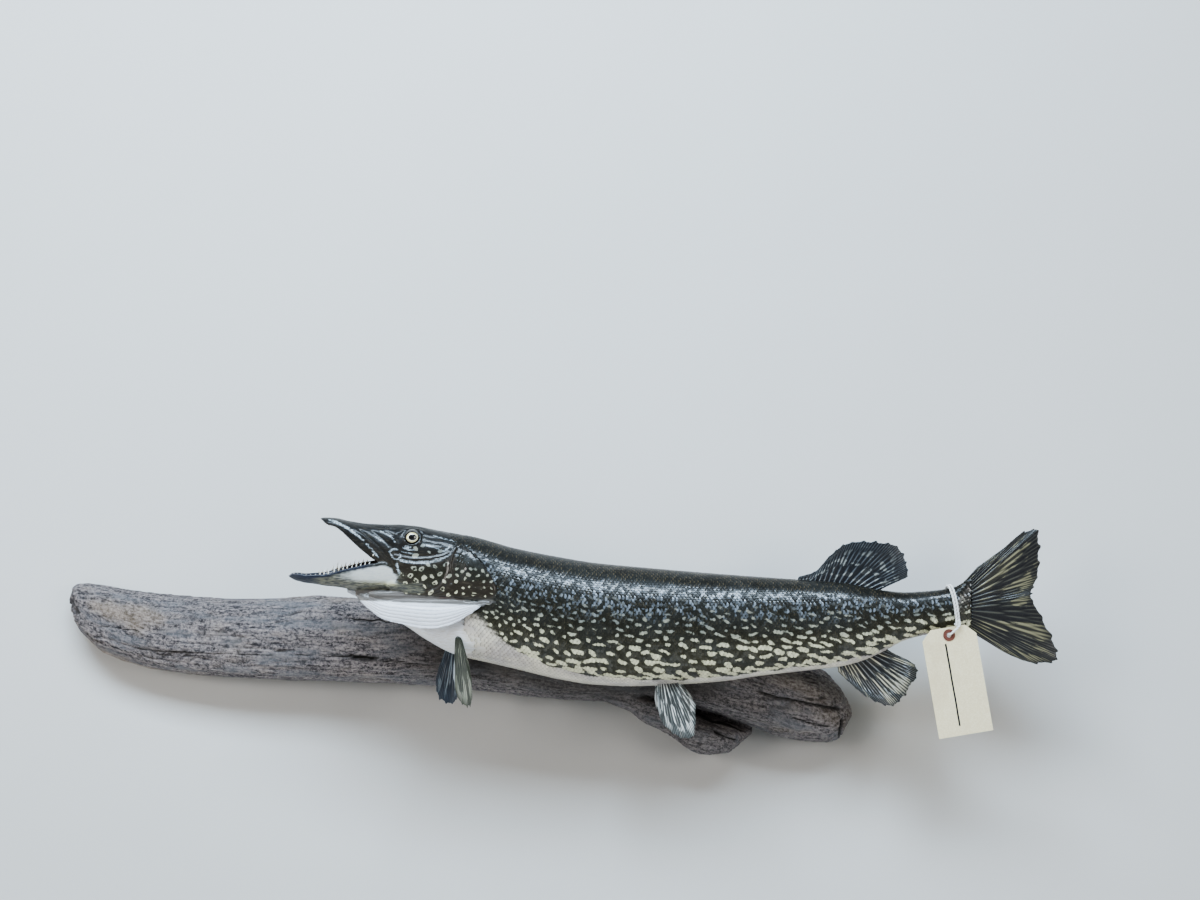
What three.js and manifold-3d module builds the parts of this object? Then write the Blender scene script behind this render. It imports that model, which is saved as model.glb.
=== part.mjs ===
// A northern pike, mounted by a taxidermist on a split length of driftwood, life size.
// Millimetres. +X runs from the head to the tail, +Y into the wall, +Z up.
// The origin is on the flat sawn back of the driftwood, which hangs on the wall at y = 0.
//
// The fish is drawn in "body places" (x, side, z): x along the frame, side across the body
// (minus is the fish's left, which faces the room) and z up. One function, bodyPoint, then
// swings the head and the tail tip out of the wall's plane, as the mounted skin is posed.
import * as THREE from 'three';
import Module from 'manifold-3d';
import { mergeVertices } from 'three/addons/utils/BufferGeometryUtils.js';

const wasm = await Module();
wasm.setup();

// ---------------------------------------------------------------- driving dimensions
const GAP = 0.3;                  // clearance between pieces that touch
const BODY_OFF_WALL = 92;         // the fish's middle plane, in front of the wall
const SWING_RADIUS = 1500;        // the head and the tail tip curve outwards on this radius
const HEAD_SWING_START = 150;     // x where the head's swing starts
const TAIL_SWING_START = 420;     // x where the tail's swing starts
const HEAD_REAR = -88;            // x where the head ends and the trunk starts
const TRUNK_MIDDLE = 154;         // x where the trunk is parted in two
const TRUNK_REAR = 330;           // x where the tail stem starts
const TAIL_STEM_END = 462;        // x where the tail fin is rooted

const BODY_SIDES = 22;            // facets round the trunk
const TRUNK_PITCH = 22;           // between the trunk's rings
const EYE_RADIUS = 9.4;
const EYE_PLACE = { x: -159.6, side: 17.6, z: 138.8 };
const GILL_COVER_THICK = 3.6;
const GILL_COVER_PROUD = 1.7;
const WOOD_LEFT = -578;
const TAG_SIZE = { wide: 60.3, long: 119, thick: 0.6, clip: 11 };
const TAG_LEAN = THREE.MathUtils.degToRad(9.4);
const STRING_RADIUS = 1.3;
const STRING_SIDES = 8;
const STRING_STEPS = 52;

const COLOURS = {
  back: 0x23231c, flank: 0x3a3a2c, belly: 0xcfc8b2, jaw: 0xb9b89c, membrane: 0xdfe4ea,
  tongue: 0xc3a394, eye: 0xd9cf8a, fin: 0x3d4347, wood: 0x77716a, steel: 0x8c8f90,
  card: 0xe9e2c4, ring: 0x9a5b4a, cotton: 0xf0efe9,
};

// ---------------------------------------------------------------- curves and solids

/** A smooth curve through [x, value] points that doesn't overshoot them (monotone cubic). */
function track(points) {
  const steps = points.slice(1).map(([x, v], i) => (v - points[i][1]) / (x - points[i][0]));
  const slopes = points.map((_, i) => {
    if (i === 0) return steps[0];
    if (i === points.length - 1) return steps[i - 1];
    const [before, after] = [steps[i - 1], steps[i]];
    return before * after <= 0 ? 0 : (2 * before * after) / (before + after);
  });
  return (x) => {
    if (x <= points[0][0]) return points[0][1];
    if (x >= points.at(-1)[0]) return points.at(-1)[1];
    const i = points.findIndex(([px]) => px > x) - 1;
    const [x0, v0] = points[i];
    const [x1, v1] = points[i + 1];
    const width = x1 - x0;
    const s = (x - x0) / width;
    const ease = s * s * (3 - 2 * s);
    const lift = s * (1 - s) * ((1 - s) * slopes[i] - s * slopes[i + 1]);
    return v0 + (v1 - v0) * ease + width * lift;
  };
}

/** Evenly spaced numbers from a to b, both ends included. */
function spread(a, b, count) {
  return Array.from({ length: count }, (_, i) => a + ((b - a) * i) / (count - 1));
}

/** A signed power, which squares off a round section the higher 1 / power is. */
function squared(value, roundness) {
  return Math.sign(value) * Math.abs(value) ** (2 / roundness);
}

const smooth = (a, b, x) => THREE.MathUtils.smoothstep(x, a, b);

/** Where a place in the straight body lies in the posed one. */
function bodyPoint(x, side, z) {
  const head = Math.max(0, HEAD_SWING_START - x);
  const tail = Math.max(0, x - TAIL_SWING_START);
  const outwards = (head * head + tail * tail) / (2 * SWING_RADIUS);
  const slope = (head - tail) / SWING_RADIUS;
  const length = Math.hypot(1, slope);
  return [x - (side * slope) / length, -BODY_OFF_WALL - outwards + side / length, z];
}

/** A closed indexed geometry from points and triangles, turned to face outwards. */
function closedGeometry(points, triangles) {
  let volume = 0;
  for (const [a, b, c] of triangles) {
    const [p, q, r] = [points[a], points[b], points[c]];
    volume += p[0] * (q[1] * r[2] - q[2] * r[1]) - p[1] * (q[0] * r[2] - q[2] * r[0])
      + p[2] * (q[0] * r[1] - q[1] * r[0]);
  }
  const faces = volume < 0 ? triangles.map(([a, b, c]) => [a, c, b]) : triangles;
  const geometry = new THREE.BufferGeometry();
  geometry.setAttribute('position', new THREE.Float32BufferAttribute(points.flat(), 3));
  geometry.setIndex(faces.flat());
  return geometry;
}

/** A skin over rings of equal count, each ring [x, side, z] points, with both ends capped. */
function loft(rings, place = (p) => p) {
  const count = rings[0].length;
  const triangles = [];
  for (let i = 0; i + 1 < rings.length; i += 1) {
    for (let j = 0; j < count; j += 1) {
      const [a, b] = [i * count + j, i * count + ((j + 1) % count)];
      triangles.push([a, b, b + count], [a, b + count, a + count]);
    }
  }
  for (const end of [0, rings.length - 1]) {
    const outline = rings[end].map((p) => new THREE.Vector2(p[1], p[2]));
    const flip = end === 0;
    for (const [a, b, c] of THREE.ShapeUtils.triangulateShape(outline, [])) {
      const [i, j, k] = [a + end * count, b + end * count, c + end * count];
      const upright = THREE.ShapeUtils.isClockWise(outline) !== flip;
      triangles.push(upright ? [i, k, j] : [i, j, k]);
    }
  }
  return closedGeometry(rings.flat().map(place), triangles);
}

/** A thin plate over a grid of middle points, thick(u, v) across the given direction. */
function plate(point, thick, across, uSteps, vSteps) {
  const points = [];
  for (const half of [-0.5, 0.5]) {
    for (const u of spread(0, 1, uSteps + 1)) {
      for (const v of spread(0, 1, vSteps + 1)) {
        const middle = point(u, v);
        const way = across(u, v);
        points.push(middle.map((m, k) => m + way[k] * half * thick(u, v)));
      }
    }
  }
  const row = vSteps + 1;
  const back = (uSteps + 1) * row;
  const triangles = [];
  const quad = (a, b, c, d) => triangles.push([a, b, c], [a, c, d]);
  for (let i = 0; i < uSteps; i += 1) {
    for (let j = 0; j < vSteps; j += 1) {
      const a = i * row + j;
      quad(a, a + 1, a + row + 1, a + row);
      quad(back + a, back + a + row, back + a + row + 1, back + a + 1);
    }
    quad(i * row, (i + 1) * row, back + (i + 1) * row, back + i * row);
    const far = i * row + vSteps;
    quad(far, back + far, back + far + row, far + row);
  }
  for (let j = 0; j < vSteps; j += 1) {
    quad(j, back + j, back + j + 1, j + 1);
    const last = uSteps * row + j;
    quad(last, last + 1, back + last + 1, back + last);
  }
  return closedGeometry(points, triangles);
}

/** A manifold solid from a three.js geometry. */
function solid(source) {
  const geometry = source.clone();
  geometry.deleteAttribute('normal');
  geometry.deleteAttribute('uv');
  const merged = mergeVertices(geometry, 1e-4);
  return new wasm.Manifold(new wasm.Mesh({
    numProp: 3,
    vertProperties: new Float32Array(merged.attributes.position.array),
    triVerts: new Uint32Array(merged.index.array),
  }));
}

/** The largest body of a manifold solid, back as a three.js geometry. */
function geometryOf(body) {
  const pieces = body.decompose();
  const whole = pieces.reduce((a, b) => (b.volume() > a.volume() ? b : a));
  const mesh = whole.getMesh();
  const geometry = new THREE.BufferGeometry();
  geometry.setAttribute('position', new THREE.Float32BufferAttribute(mesh.vertProperties, 3));
  geometry.setIndex(Array.from(mesh.triVerts));
  return geometry;
}

const inBody = ([x, side, z]) => bodyPoint(x, side, z);
const bodyLoft = (rings) => solid(loft(rings, inBody));

/** An outline of [x, z] corners, pushed through from one side place to another. */
function sidePrism(outline, fromSide, toSide) {
  const shape = new THREE.Shape(outline.map(([x, z]) => new THREE.Vector2(x, z)));
  const geometry = new THREE.ExtrudeGeometry(shape, {
    depth: Math.abs(toSide - fromSide), bevelEnabled: false, steps: 1,
  });
  const position = geometry.attributes.position;
  for (let i = 0; i < position.count; i += 1) {
    const [x, z] = [position.getX(i), position.getY(i)];
    const side = Math.min(fromSide, toSide) + position.getZ(i);
    position.setXYZ(i, ...bodyPoint(x, side, z));
  }
  // (x, side, z) is (x, depth, y) of the extrusion, a mirrored order, so each face is turned.
  const { array } = position;
  for (let i = 0; i < array.length; i += 9) {
    for (let k = 0; k < 3; k += 1) {
      [array[i + 3 + k], array[i + 6 + k]] = [array[i + 6 + k], array[i + 3 + k]];
    }
  }
  return solid(geometry);
}

// ---------------------------------------------------------------- the fish's own shape

const bodyTop = track([[-140, 148], [-120, 144.2], [-97, 140.5], [-75, 134.5], [-50, 127],
  [0, 116.5], [41, 109.5], [83, 105.3], [180, 97], [272, 90.4], [320, 87], [360, 79.5],
  [389, 76.4], [423, 78.5], [445, 82.5], [462, 92.5]]);
const bodyBottom = track([[-140, 20], [-100, 5.5], [-75, -0.5], [-27, -12.7], [0, -19.5],
  [41, -26.2], [83, -28.4], [133, -26.8], [180, -23.6], [227, -17], [272, -12], [317, -6.6],
  [340, -0.5], [360, 8], [389, 22.5], [423, 30], [445, 32], [462, 31.5]]);
const bodyHalfWidth = track([[-140, 33], [-100, 37.5], [-50, 41], [0, 43], [60, 43.8],
  [133, 41.5], [180, 38.8], [227, 35.2], [272, 31], [317, 26.5], [360, 20.5], [389, 17],
  [423, 14.2], [441, 12.3], [453, 8.2], [462, 4]]);
const BODY_ROUNDNESS = 2.25;

/** A ring round the trunk at x; grow makes it larger by that much all round. */
function trunkRing(x, grow = 0) {
  const middle = (bodyTop(x) + bodyBottom(x)) / 2;
  const high = (bodyTop(x) - bodyBottom(x)) / 2 + grow;
  const wide = bodyHalfWidth(x) + grow;
  return Array.from({ length: BODY_SIDES }, (_, i) => {
    const a = (i / BODY_SIDES) * 2 * Math.PI;
    return [x, wide * squared(Math.cos(a), BODY_ROUNDNESS),
      middle + high * squared(Math.sin(a), BODY_ROUNDNESS)];
  });
}

/** The trunk between two places along it, with its rings at the same places in every cut. */
function trunkSolid(from, to, grow = 0) {
  const stations = [from];
  for (let i = Math.floor(from / TRUNK_PITCH) + 1; i * TRUNK_PITCH < to; i += 1) {
    if (i * TRUNK_PITCH - from > 1 && to - i * TRUNK_PITCH > 1) stations.push(i * TRUNK_PITCH);
  }
  stations.push(to);
  return bodyLoft(stations.map((x) => trunkRing(x, grow)));
}

const headTop = track([[-254, 160.4], [-250, 161.2], [-238, 160.6], [-222, 156.6],
  [-206, 153.8], [-190, 152.8], [-171, 152.3], [-150, 150.3], [-133, 147], [-110, 142.4],
  [-97, 140.5], [-75, 134.5], [-60, 130]]);
const headEdge = track([[-254, 158.6], [-247, 153.8], [-239, 151], [-232, 146], [-218, 132],
  [-204, 119.5], [-194, 113], [-181, 107], [-174, 84], [-163, 77.6], [-130, 75.6], [-60, 74]]);
const headHalfWidth = track([[-254, 4], [-252, 9], [-247, 14.5], [-236, 19], [-222, 21.5],
  [-200, 24.5], [-175, 27.5], [-157, 29.5], [-133, 33], [-100, 37.5], [-60, 38.5]]);
const palateRise = track([[-254, 0.4], [-248, 2.2], [-236, 4.5], [-222, 10], [-200, 19],
  [-182, 24], [-174, 44], [-163, 42], [-150, 22], [-144, 6]]);
const headBoxy = track([[-254, 2.1], [-235, 2.4], [-200, 2.8], [-165, 3.3], [-140, 3],
  [-110, 2.6], [-60, 2.3]]);    // how square the head's section is
const HEAD_ARC = 15;              // points over the head from lip to lip
const PALATE_ARC = 7;             // points under it
const LIP_THICK = 3.4;

/** A ring round the upper head at x: over the top, then back under the palate. */
function headRing(x, grow = 0) {
  const [top, edge, wide] = [headTop(x) + grow, headEdge(x) - grow, headHalfWidth(x) + grow];
  const boxy = headBoxy(x);
  const over = spread(Math.PI, 0, HEAD_ARC).map((a) => [x, wide * squared(Math.cos(a), boxy + 0.4),
    edge + (top - edge) * Math.abs(squared(Math.sin(a), boxy))]);
  const rise = palateRise(x) * smooth(-140, -150, x) + 0.2;
  const inner = Math.max(wide * 0.45, wide - LIP_THICK - grow);
  const under = spread(0.08, 0.92, PALATE_ARC).map((s) => {
    const a = s * Math.PI;
    return [x, inner * squared(Math.cos(a), 2.4), edge + rise * Math.sin(a)];
  });
  return [...over, ...under];
}

const HEAD_STATIONS = [-254, -252.5, -249, -241, -230, -216, -200, -184, -178, -173, -164, -152,
  -144, -126, -107];

/** The upper head from the snout back to a place behind the gill covers. */
function headSolid(grow = 0, rear = HEAD_REAR) {
  const stations = [...HEAD_STATIONS.filter((x) => x < rear), rear];
  return bodyLoft(stations.map((x) => headRing(x, grow)));
}

const jawRim = track([[-286, 99.2], [-280, 101], [-267, 99.6], [-250, 100], [-235, 104],
  [-218, 108], [-205, 110.5], [-191, 112], [-176, 106], [-168, 100]]);
const jawUnder = track([[-286, 97.6], [-280, 94], [-272, 91.5], [-258, 88.8], [-228, 84],
  [-212, 81.4], [-190, 79.4], [-168, 78]]);
const jawHalfWidth = track([[-286, 3.5], [-283, 8.5], [-277, 13], [-265, 17], [-250, 20],
  [-228, 23.4], [-205, 25.8], [-190, 27], [-168, 29]]);
const jawTrough = track([[-286, 0.4], [-276, 3.2], [-262, 5], [-240, 11], [-215, 19],
  [-190, 24], [-168, 16]]);
const JAW_STATIONS = [-286, -284.5, -280, -272, -258, -242, -226, -210, -195, -182, -170];
const JAW_ARC = 13;
const TROUGH_ARC = 7;
const RIM_THICK = 3.2;

/** A ring round the lower jaw at x: round the underside, then down into the trough. */
function jawRing(x) {
  const [rim, under, wide] = [jawRim(x), jawUnder(x), jawHalfWidth(x)];
  const outside = spread(0, Math.PI, JAW_ARC).map((a) => [x, wide * squared(Math.cos(a), 2.6),
    rim - (rim - under) * Math.abs(squared(Math.sin(a), 2.6))]);
  const inner = Math.max(wide * 0.45, wide - RIM_THICK);
  const inside = spread(0.92, 0.08, TROUGH_ARC).map((s) => {
    const a = s * Math.PI;
    return [x, inner * squared(Math.cos(a), 3), rim - jawTrough(x) * Math.sin(a)];
  });
  return [...outside, ...inside];
}

/** One conical tooth at a body place, leaning by the given vector over its length. */
function tooth(x, side, z, radius, tip) {
  const foot = Array.from({ length: 4 }, (_, i) => {
    const a = (i / 4) * 2 * Math.PI;
    return bodyPoint(x + radius * Math.cos(a), side + radius * Math.sin(a), z);
  });
  const point = bodyPoint(x + tip[0], side + tip[1], z + tip[2]);
  const triangles = [[0, 1, 4], [1, 2, 4], [2, 3, 4], [3, 0, 4], [0, 2, 1], [0, 3, 2]];
  return solid(closedGeometry([...foot, point], triangles));
}

/** The upper head with its palate, sockets for the eyes and small teeth inside the lip. */
function makeHead(gillCoverRoom) {
  let body = headSolid();
  for (const side of [-1, 1]) {
    for (const x of [-243, -237, -230]) {
      const across = side * (headHalfWidth(x) - 2.2);
      body = body.add(tooth(x, across, headEdge(x) + 1, 1.1, [1, 0, -4.2]));
    }
    body = body.subtract(eyeball(side, GAP));
  }
  for (const room of gillCoverRoom) body = body.subtract(room);
  return geometryOf(body);
}

const JAW_TEETH = [[-262, 2.6], [-253, 3.2], [-245, 5.6], [-238, 7.2], [-230, 5.4], [-221, 4.2],
  [-212, 3.4]];           // [x, height] down each side of the lower jaw

/** The lower jaw with its teeth joined to the rim, cut clear of the upper head. */
function makeLowerJaw() {
  let body = bodyLoft(JAW_STATIONS.map(jawRing));
  for (const side of [-1, 1]) {
    for (const [x, height] of JAW_TEETH) {
      const across = side * (jawHalfWidth(x) - 2);
      body = body.add(tooth(x, across, jawRim(x) - 1.5, 1.5, [0.8, -side, height + 1.5]));
    }
  }
  return geometryOf(body.subtract(headSolid(GAP)));
}

/** The flat tongue that lies in the trough of the lower jaw. */
function makeTongue() {
  const wide = track([[-256, 3], [-250, 6.5], [-235, 9], [-200, 10.5], [-182, 10]]);
  const floor = (x) => jawRim(x) - jawTrough(x) + GAP;
  const rings = spread(-256, -182, 9).map((x) => {
    const ring = [];
    for (let i = 0; i < 12; i += 1) {
      const a = (i / 12) * 2 * Math.PI;
      const thick = a <= Math.PI ? 3.2 : 0.9;
      ring.push([x, wide(x) * Math.cos(a), floor(x) + 2.4 + thick * Math.sin(a)]);
    }
    return ring;
  });
  const trough = bodyLoft(JAW_STATIONS.map(jawRing));
  return geometryOf(bodyLoft(rings).subtract(trough).subtract(headSolid(GAP)));
}

/** One eyeball, seated in the side of the head. */
function eyeball(side, grow = 0) {
  const ball = new THREE.SphereGeometry(EYE_RADIUS + grow, 12, 8);
  ball.translate(...bodyPoint(EYE_PLACE.x, side * EYE_PLACE.side, EYE_PLACE.z));
  return solid(ball);
}

const GILL_COVER_OUTLINE = [[-116, 129], [-105, 128], [-90, 117], [-78, 102], [-70.5, 87],
  [-70.5, 79], [-75, 72.6], [-96, 72.2], [-121, 73.4], [-117.5, 100]];

/** An outline pushed outwards from its middle by an even amount. */
function widen(outline, amount) {
  const middle = outline.reduce(([sx, sz], [x, z]) => [sx + x, sz + z], [0, 0])
    .map((sum) => sum / outline.length);
  return outline.map(([x, z]) => {
    const [dx, dz] = [x - middle[0], z - middle[1]];
    const far = Math.hypot(dx, dz);
    return [x + (dx / far) * amount, z + (dz / far) * amount];
  });
}

/** The bony plate over the gills on one side; grow gives the room it needs. */
function gillCover(side, grow = 0) {
  const outside = headSolid(GILL_COVER_PROUD + grow, -62);
  const inside = headSolid(GILL_COVER_PROUD - GILL_COVER_THICK - grow, -62);
  const window = sidePrism(widen(GILL_COVER_OUTLINE, 2 * grow), side * (14 - grow), side * 60);
  return outside.subtract(inside).intersect(window);
}

const MEMBRANE_FRONT = -219;
const MEMBRANE_REAR = -75.5;
const membraneTop = track([[-222, 82], [-205, 79], [-190, 76], [-166, 74.4], [-127, 72], [-75, 71.5]]);
const membraneBottom = track([[-222, 79], [-218.6, 76], [-211.5, 68], [-203, 60.5], [-190, 51.2],
  [-167, 45.5], [-148, 41.9], [-135, 41.3], [-123, 44], [-113, 48], [-98, 56.2], [-82, 67]]);
const membraneRoot = track([[-222, 5], [-190, 16], [-166, 22], [-127, 29], [-75, 36]]);
const membraneHem = track([[-222, 7], [-205, 17], [-190, 25], [-166, 32], [-134, 38], [-109, 41],
  [-75, 41]]);
const MEMBRANE_THICK = 1.8;

/** The flared skin under the gill cover, hung from the jaw and bulging outwards. */
function makeMembrane(side, keepClear) {
  const point = (u, v) => {
    const x = MEMBRANE_FRONT + (MEMBRANE_REAR - MEMBRANE_FRONT) * u;
    const bulge = 4.5 * Math.sin(Math.PI * Math.min(1, v * 1.15)) * Math.sin(Math.PI * u);
    const across = membraneRoot(x) + (membraneHem(x) - membraneRoot(x)) * v ** 0.6 + bulge;
    return bodyPoint(x, side * across, membraneTop(x) + (membraneBottom(x) - membraneTop(x)) * v);
  };
  const across = () => [0.12, side * 0.95, -0.28];
  let body = solid(plate(point, () => MEMBRANE_THICK, across, 13, 3));
  for (const neighbour of keepClear) body = body.subtract(neighbour);
  return geometryOf(body);
}

const throatUnder = track([[-226, 79], [-203, 67], [-183, 53.5], [-161, 39], [-145, 27.5],
  [-114, 10], [-100, 5.5], [-75, -0.5]]);
const throatHalfWidth = track([[-226, 3], [-203, 8], [-183, 12], [-161, 17], [-145, 21.5],
  [-114, 31], [-88, 37]]);

const THROAT_SIDES = 16;

/** The wedge of the breast that narrows forward under the head, between the membranes. */
function throatSolid(grow = 0) {
  const rings = spread(-226, HEAD_REAR, 10).map((x) => {
    const top = headEdgeClear(x) + grow;
    const low = throatUnder(x) - grow;
    return Array.from({ length: THROAT_SIDES }, (_, i) => {
      const a = (i / THROAT_SIDES) * 2 * Math.PI;
      return [x, (throatHalfWidth(x) + grow) * squared(Math.cos(a), 2.3),
        (top + low) / 2 + ((top - low) / 2) * squared(Math.sin(a), 2.3)];
    });
  });
  return bodyLoft(rings);
}

/** The highest the throat may reach under the jaw and the head. */
function headEdgeClear(x) {
  return Math.min(x < -166 ? jawUnder(x) : 77, 84) - 0.6;
}

// ---------------------------------------------------------------- fins

/** Two fin edges as tracks of how far along u runs: the root and the rim, [x, z] each. */
function finCurve(points) {
  const along = (k) => track(points.map((p, i) => [i / (points.length - 1), p[k]]));
  const [xOf, zOf] = [along(0), along(1)];
  return (u) => [xOf(u), zOf(u)];
}

/**
 * A fin: rays fan from the root to the rim, thick at the root and thin at the rim, with
 * a low ripple along each ray. lean moves the rim across the body.
 */
function makeFin({ root, rim, side = 0, rimSide = side, rays, steps = 3, thickRoot, thickRim }) {
  const [rootAt, rimAt] = [finCurve(root), finCurve(rim)];
  const point = (u, v) => {
    const [rx, rz] = rootAt(u);
    const [ex, ez] = rimAt(u);
    const across = side + (rimSide - side) * v ** 1.3;
    return bodyPoint(rx + (ex - rx) * v, across, rz + (ez - rz) * v);
  };
  const count = rays * 2;
  const thick = (u, v) => {
    const onRay = Math.round(u * count) % 2 === 0 ? 1 : 0.62;
    return (thickRoot + (thickRim - thickRoot) * v) * onRay;
  };
  return solid(plate(point, thick, () => [0, 1, 0], count, steps));
}

const FIN_THICK = { thickRoot: 4.2, thickRim: 1.1 };
const DORSAL = {
  root: [[268, 82], [300, 82], [330, 80], [356, 72]],
  rim: [[270, 93], [289, 99.5], [306, 118], [324, 131], [350, 134], [378, 129.5], [392, 112],
    [393, 94.5], [364, 84]],
  rays: 9,
  ...FIN_THICK,
};
const ANAL = {
  root: [[312, 2], [326, 4], [346, 10], [366, 18]],
  rim: [[314, -13], [333, -31], [352, -45], [372, -51.5], [386, -43], [399, -25], [403.5, -10],
    [391, 1], [370, 8]],
  rays: 8,
  ...FIN_THICK,
};
const CAUDAL = {
  root: [[456, 88], [461, 78], [463, 62], [461, 46], [456, 36]],
  rim: [[470, 104], [500, 126], [524, 145], [537, 147.5], [540, 125], [538, 97], [532, 80],
    [530, 70], [544, 44], [558, 13], [556, 0], [536, -4], [510, 4], [470, 27]],
  rays: 12,
  ...FIN_THICK,
};
const LEFT_PECTORAL = {
  root: [[-113.5, 31], [-111, 33], [-108, 32], [-106, 29]],
  rim: [[-116, -9], [-114, -24], [-109, -35], [-101.5, -42], [-97.5, -41], [-95.5, -27], [-96, -14],
    [-99, 4]],
  side: -30,
  rimSide: -44,
  rays: 5,
  thickRoot: 4.6,
  thickRim: 1.1,
};
const RIGHT_PECTORAL = {
  root: [[-113.5, 31], [-111, 33], [-108, 32], [-106, 29]],
  rim: [[-128, -8], [-131, -24], [-129, -41], [-121, -48], [-112.5, -49], [-107, -40], [-104, -22],
    [-104, -4]],
  side: 30,
  rimSide: 26,
  rays: 5,
  thickRoot: 4.6,
  thickRim: 1.1,
};
const PELVIC = {
  root: [[111, -18], [116, -16], [123, -16], [129, -18]],
  rim: [[110, -46], [113, -60], [123, -73], [135, -81], [145, -82], [152, -74], [153, -48],
    [142, -30]],
  rays: 5,
  thickRoot: 4.2,
  thickRim: 1.1,
};
const PELVIC_SIDE = 14;           // how far each pelvic fin is rooted from the middle plane

// ---------------------------------------------------------------- driftwood

const woodTop = track([[-578, 71], [-574, 78], [-566, 80], [-546, 78], [-510, 71.5], [-450, 65.5],
  [-375, 61], [-331, 62], [-298, 66], [-274, 64], [-242, 62], [-150, 57], [-60, 47], [60, 31],
  [160, 14], [240, -2], [300, -17], [322, -30], [336, -50], [343, -66]]);
const woodBottom = track([[-578, 50], [-568, 28], [-554, 8], [-539, -3], [-515, -12],
  [-464, -25], [-404, -30], [-345, -34], [-226, -37], [-151, -40], [-104, -45], [-45, -51],
  [30, -58], [80, -58], [120, -55], [161, -66], [211, -82], [232, -91], [268, -102], [291, -107],
  [318, -108], [335, -99], [343, -78]]);
const woodThick = track([[-578, 18], [-564, 30], [-520, 40], [-400, 50], [-150, 58], [0, 64],
  [180, 64], [290, 52], [330, 36], [343, 22]]);
const prongTop = track([[40, -30], [110, -36], [130, -54], [161, -68.5], [211, -84],
  [226, -90]]);
const prongBottom = track([[40, -50], [70, -64.5], [82, -69], [98, -82], [128, -97], [149, -112.5],
  [164, -120.5], [193, -119.5], [209, -109], [226, -96]]);
const prongThick = track([[40, 50], [120, 52], [170, 50], [205, 38], [226, 20]]);

/** Driftwood rings: flat on the wall, round in front, with low ridges along the grain. */
function woodRings(stations, top, bottom, thick) {
  return stations.map((x) => {
    const [high, low, deep] = [top(x), bottom(x), thick(x)];
    const middle = (high + low) / 2;
    const half = (high - low) / 2;
    return spread(0, Math.PI, WOOD_ARC).map((a, i) => {
      const ridge = 1 + 0.035 * Math.sin(i * 2.4 + x / 70) * Math.sin(a);
      return [x, -deep * squared(Math.sin(a), 2.5) * ridge, middle + half * squared(Math.cos(a), 2.9)];
    });
  });
}

const WOOD_ARC = 12;               // points round the front of the wood

const HANGER = { wide: 46, high: 15, thick: 1.6, recess: 3, places: [-190, 150], z: [22, -14] };
const NAIL = { headRadius: 2.6, headThick: 0.8, shankRadius: 0.9, shankLong: 12, inset: 5 };

/** A block set into the back of the wood, from the wall plane to the given depth. */
function backBlock(x, z, wide, high, from, to) {
  const block = new THREE.BoxGeometry(wide, to - from, high);
  block.translate(x, -(from + to) / 2, z);
  return solid(block);
}

/** A rod whose axis runs into the wood from one depth to another. */
function backRod(x, z, radius, from, to) {
  const rod = new THREE.CylinderGeometry(radius, radius, to - from, 8);
  rod.translate(x, -(from + to) / 2, z);
  return solid(rod);
}

/** Where the nails of one hanger go: [x, z] pairs. */
function nailPlaces(index) {
  const reach = HANGER.wide / 2 - NAIL.inset;
  return [-reach, reach].map((dx) => [HANGER.places[index] + dx, HANGER.z[index] + 4]);
}

/** The driftwood, split at its right end, seated round the fish and recessed for hangers. */
function makeDriftwood() {
  const main = [WOOD_LEFT, -575, -570, -562, -540, -515, ...spread(-485, 300, 17), 315, 330,
    343];
  let body = solid(loft(woodRings(main, woodTop, woodBottom, woodThick)));
  const prong = [40, 62, 82, 98, 114, 131, 148, 164, 182, 198, 210, 219, 226];
  body = body.add(solid(loft(woodRings(prong, prongTop, prongBottom, prongThick))));
  for (const fishPart of [trunkSolid(-126, 342, GAP), throatSolid(GAP)]) {
    body = body.subtract(fishPart);
  }
  HANGER.places.forEach((x, i) => {
    const z = HANGER.z[i];
    const room = 2 * GAP;
    const [wide, high] = [HANGER.wide + room, HANGER.high + room];
    body = body.subtract(backBlock(x, z, wide, high, -1, HANGER.recess));
    for (const [nx, nz] of nailPlaces(i)) {
      const deep = HANGER.recess + NAIL.shankLong;
      body = body.subtract(backRod(nx, nz, NAIL.shankRadius + GAP, -1, deep));
    }
  });
  return geometryOf(body);
}

/** A steel strip with a saw-toothed lower edge, let into the back of the wood. */
function makeHanger(index) {
  const { wide, high, thick, recess } = HANGER;
  const [left, right, low] = [-wide / 2, wide / 2, -high / 2];
  const shape = new THREE.Shape();
  shape.moveTo(left, high / 2);
  const teeth = 9;
  for (let i = 0; i < teeth; i += 1) {
    const x = left + (i * wide) / teeth;
    shape.lineTo(x, low);
    shape.lineTo(x + wide / teeth / 2, low + 2);
  }
  shape.lineTo(right, low);
  shape.lineTo(right, high / 2);
  const geometry = new THREE.ExtrudeGeometry(shape, { depth: thick, bevelEnabled: false });
  geometry.rotateX(Math.PI / 2);
  geometry.translate(HANGER.places[index], -(recess - GAP - thick), HANGER.z[index]);
  let body = solid(geometry);
  for (const [x, z] of nailPlaces(index)) {
    body = body.subtract(backRod(x, z, NAIL.shankRadius + GAP, -1, recess + 1));
  }
  return geometryOf(body);
}

/** One nail: a flat head on the hanger and a shank in the wood. */
function makeNail(x, z) {
  const headBack = HANGER.recess - 2 * GAP - HANGER.thick;
  const head = backRod(x, z, NAIL.headRadius, headBack - NAIL.headThick, headBack);
  const shank = backRod(x, z, NAIL.shankRadius, headBack - 0.2, HANGER.recess + NAIL.shankLong - 1);
  return geometryOf(head.add(shank));
}

// ---------------------------------------------------------------- tag and string

const TAG_HOLE = { x: 432.5, z: 30.5, offWall: 112, radius: 2.6 };
const TAG_HOLE_FROM_TOP = 8.5;
const RING_RADIUS = 6.6;
const RING_THICK = 0.5;

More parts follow.
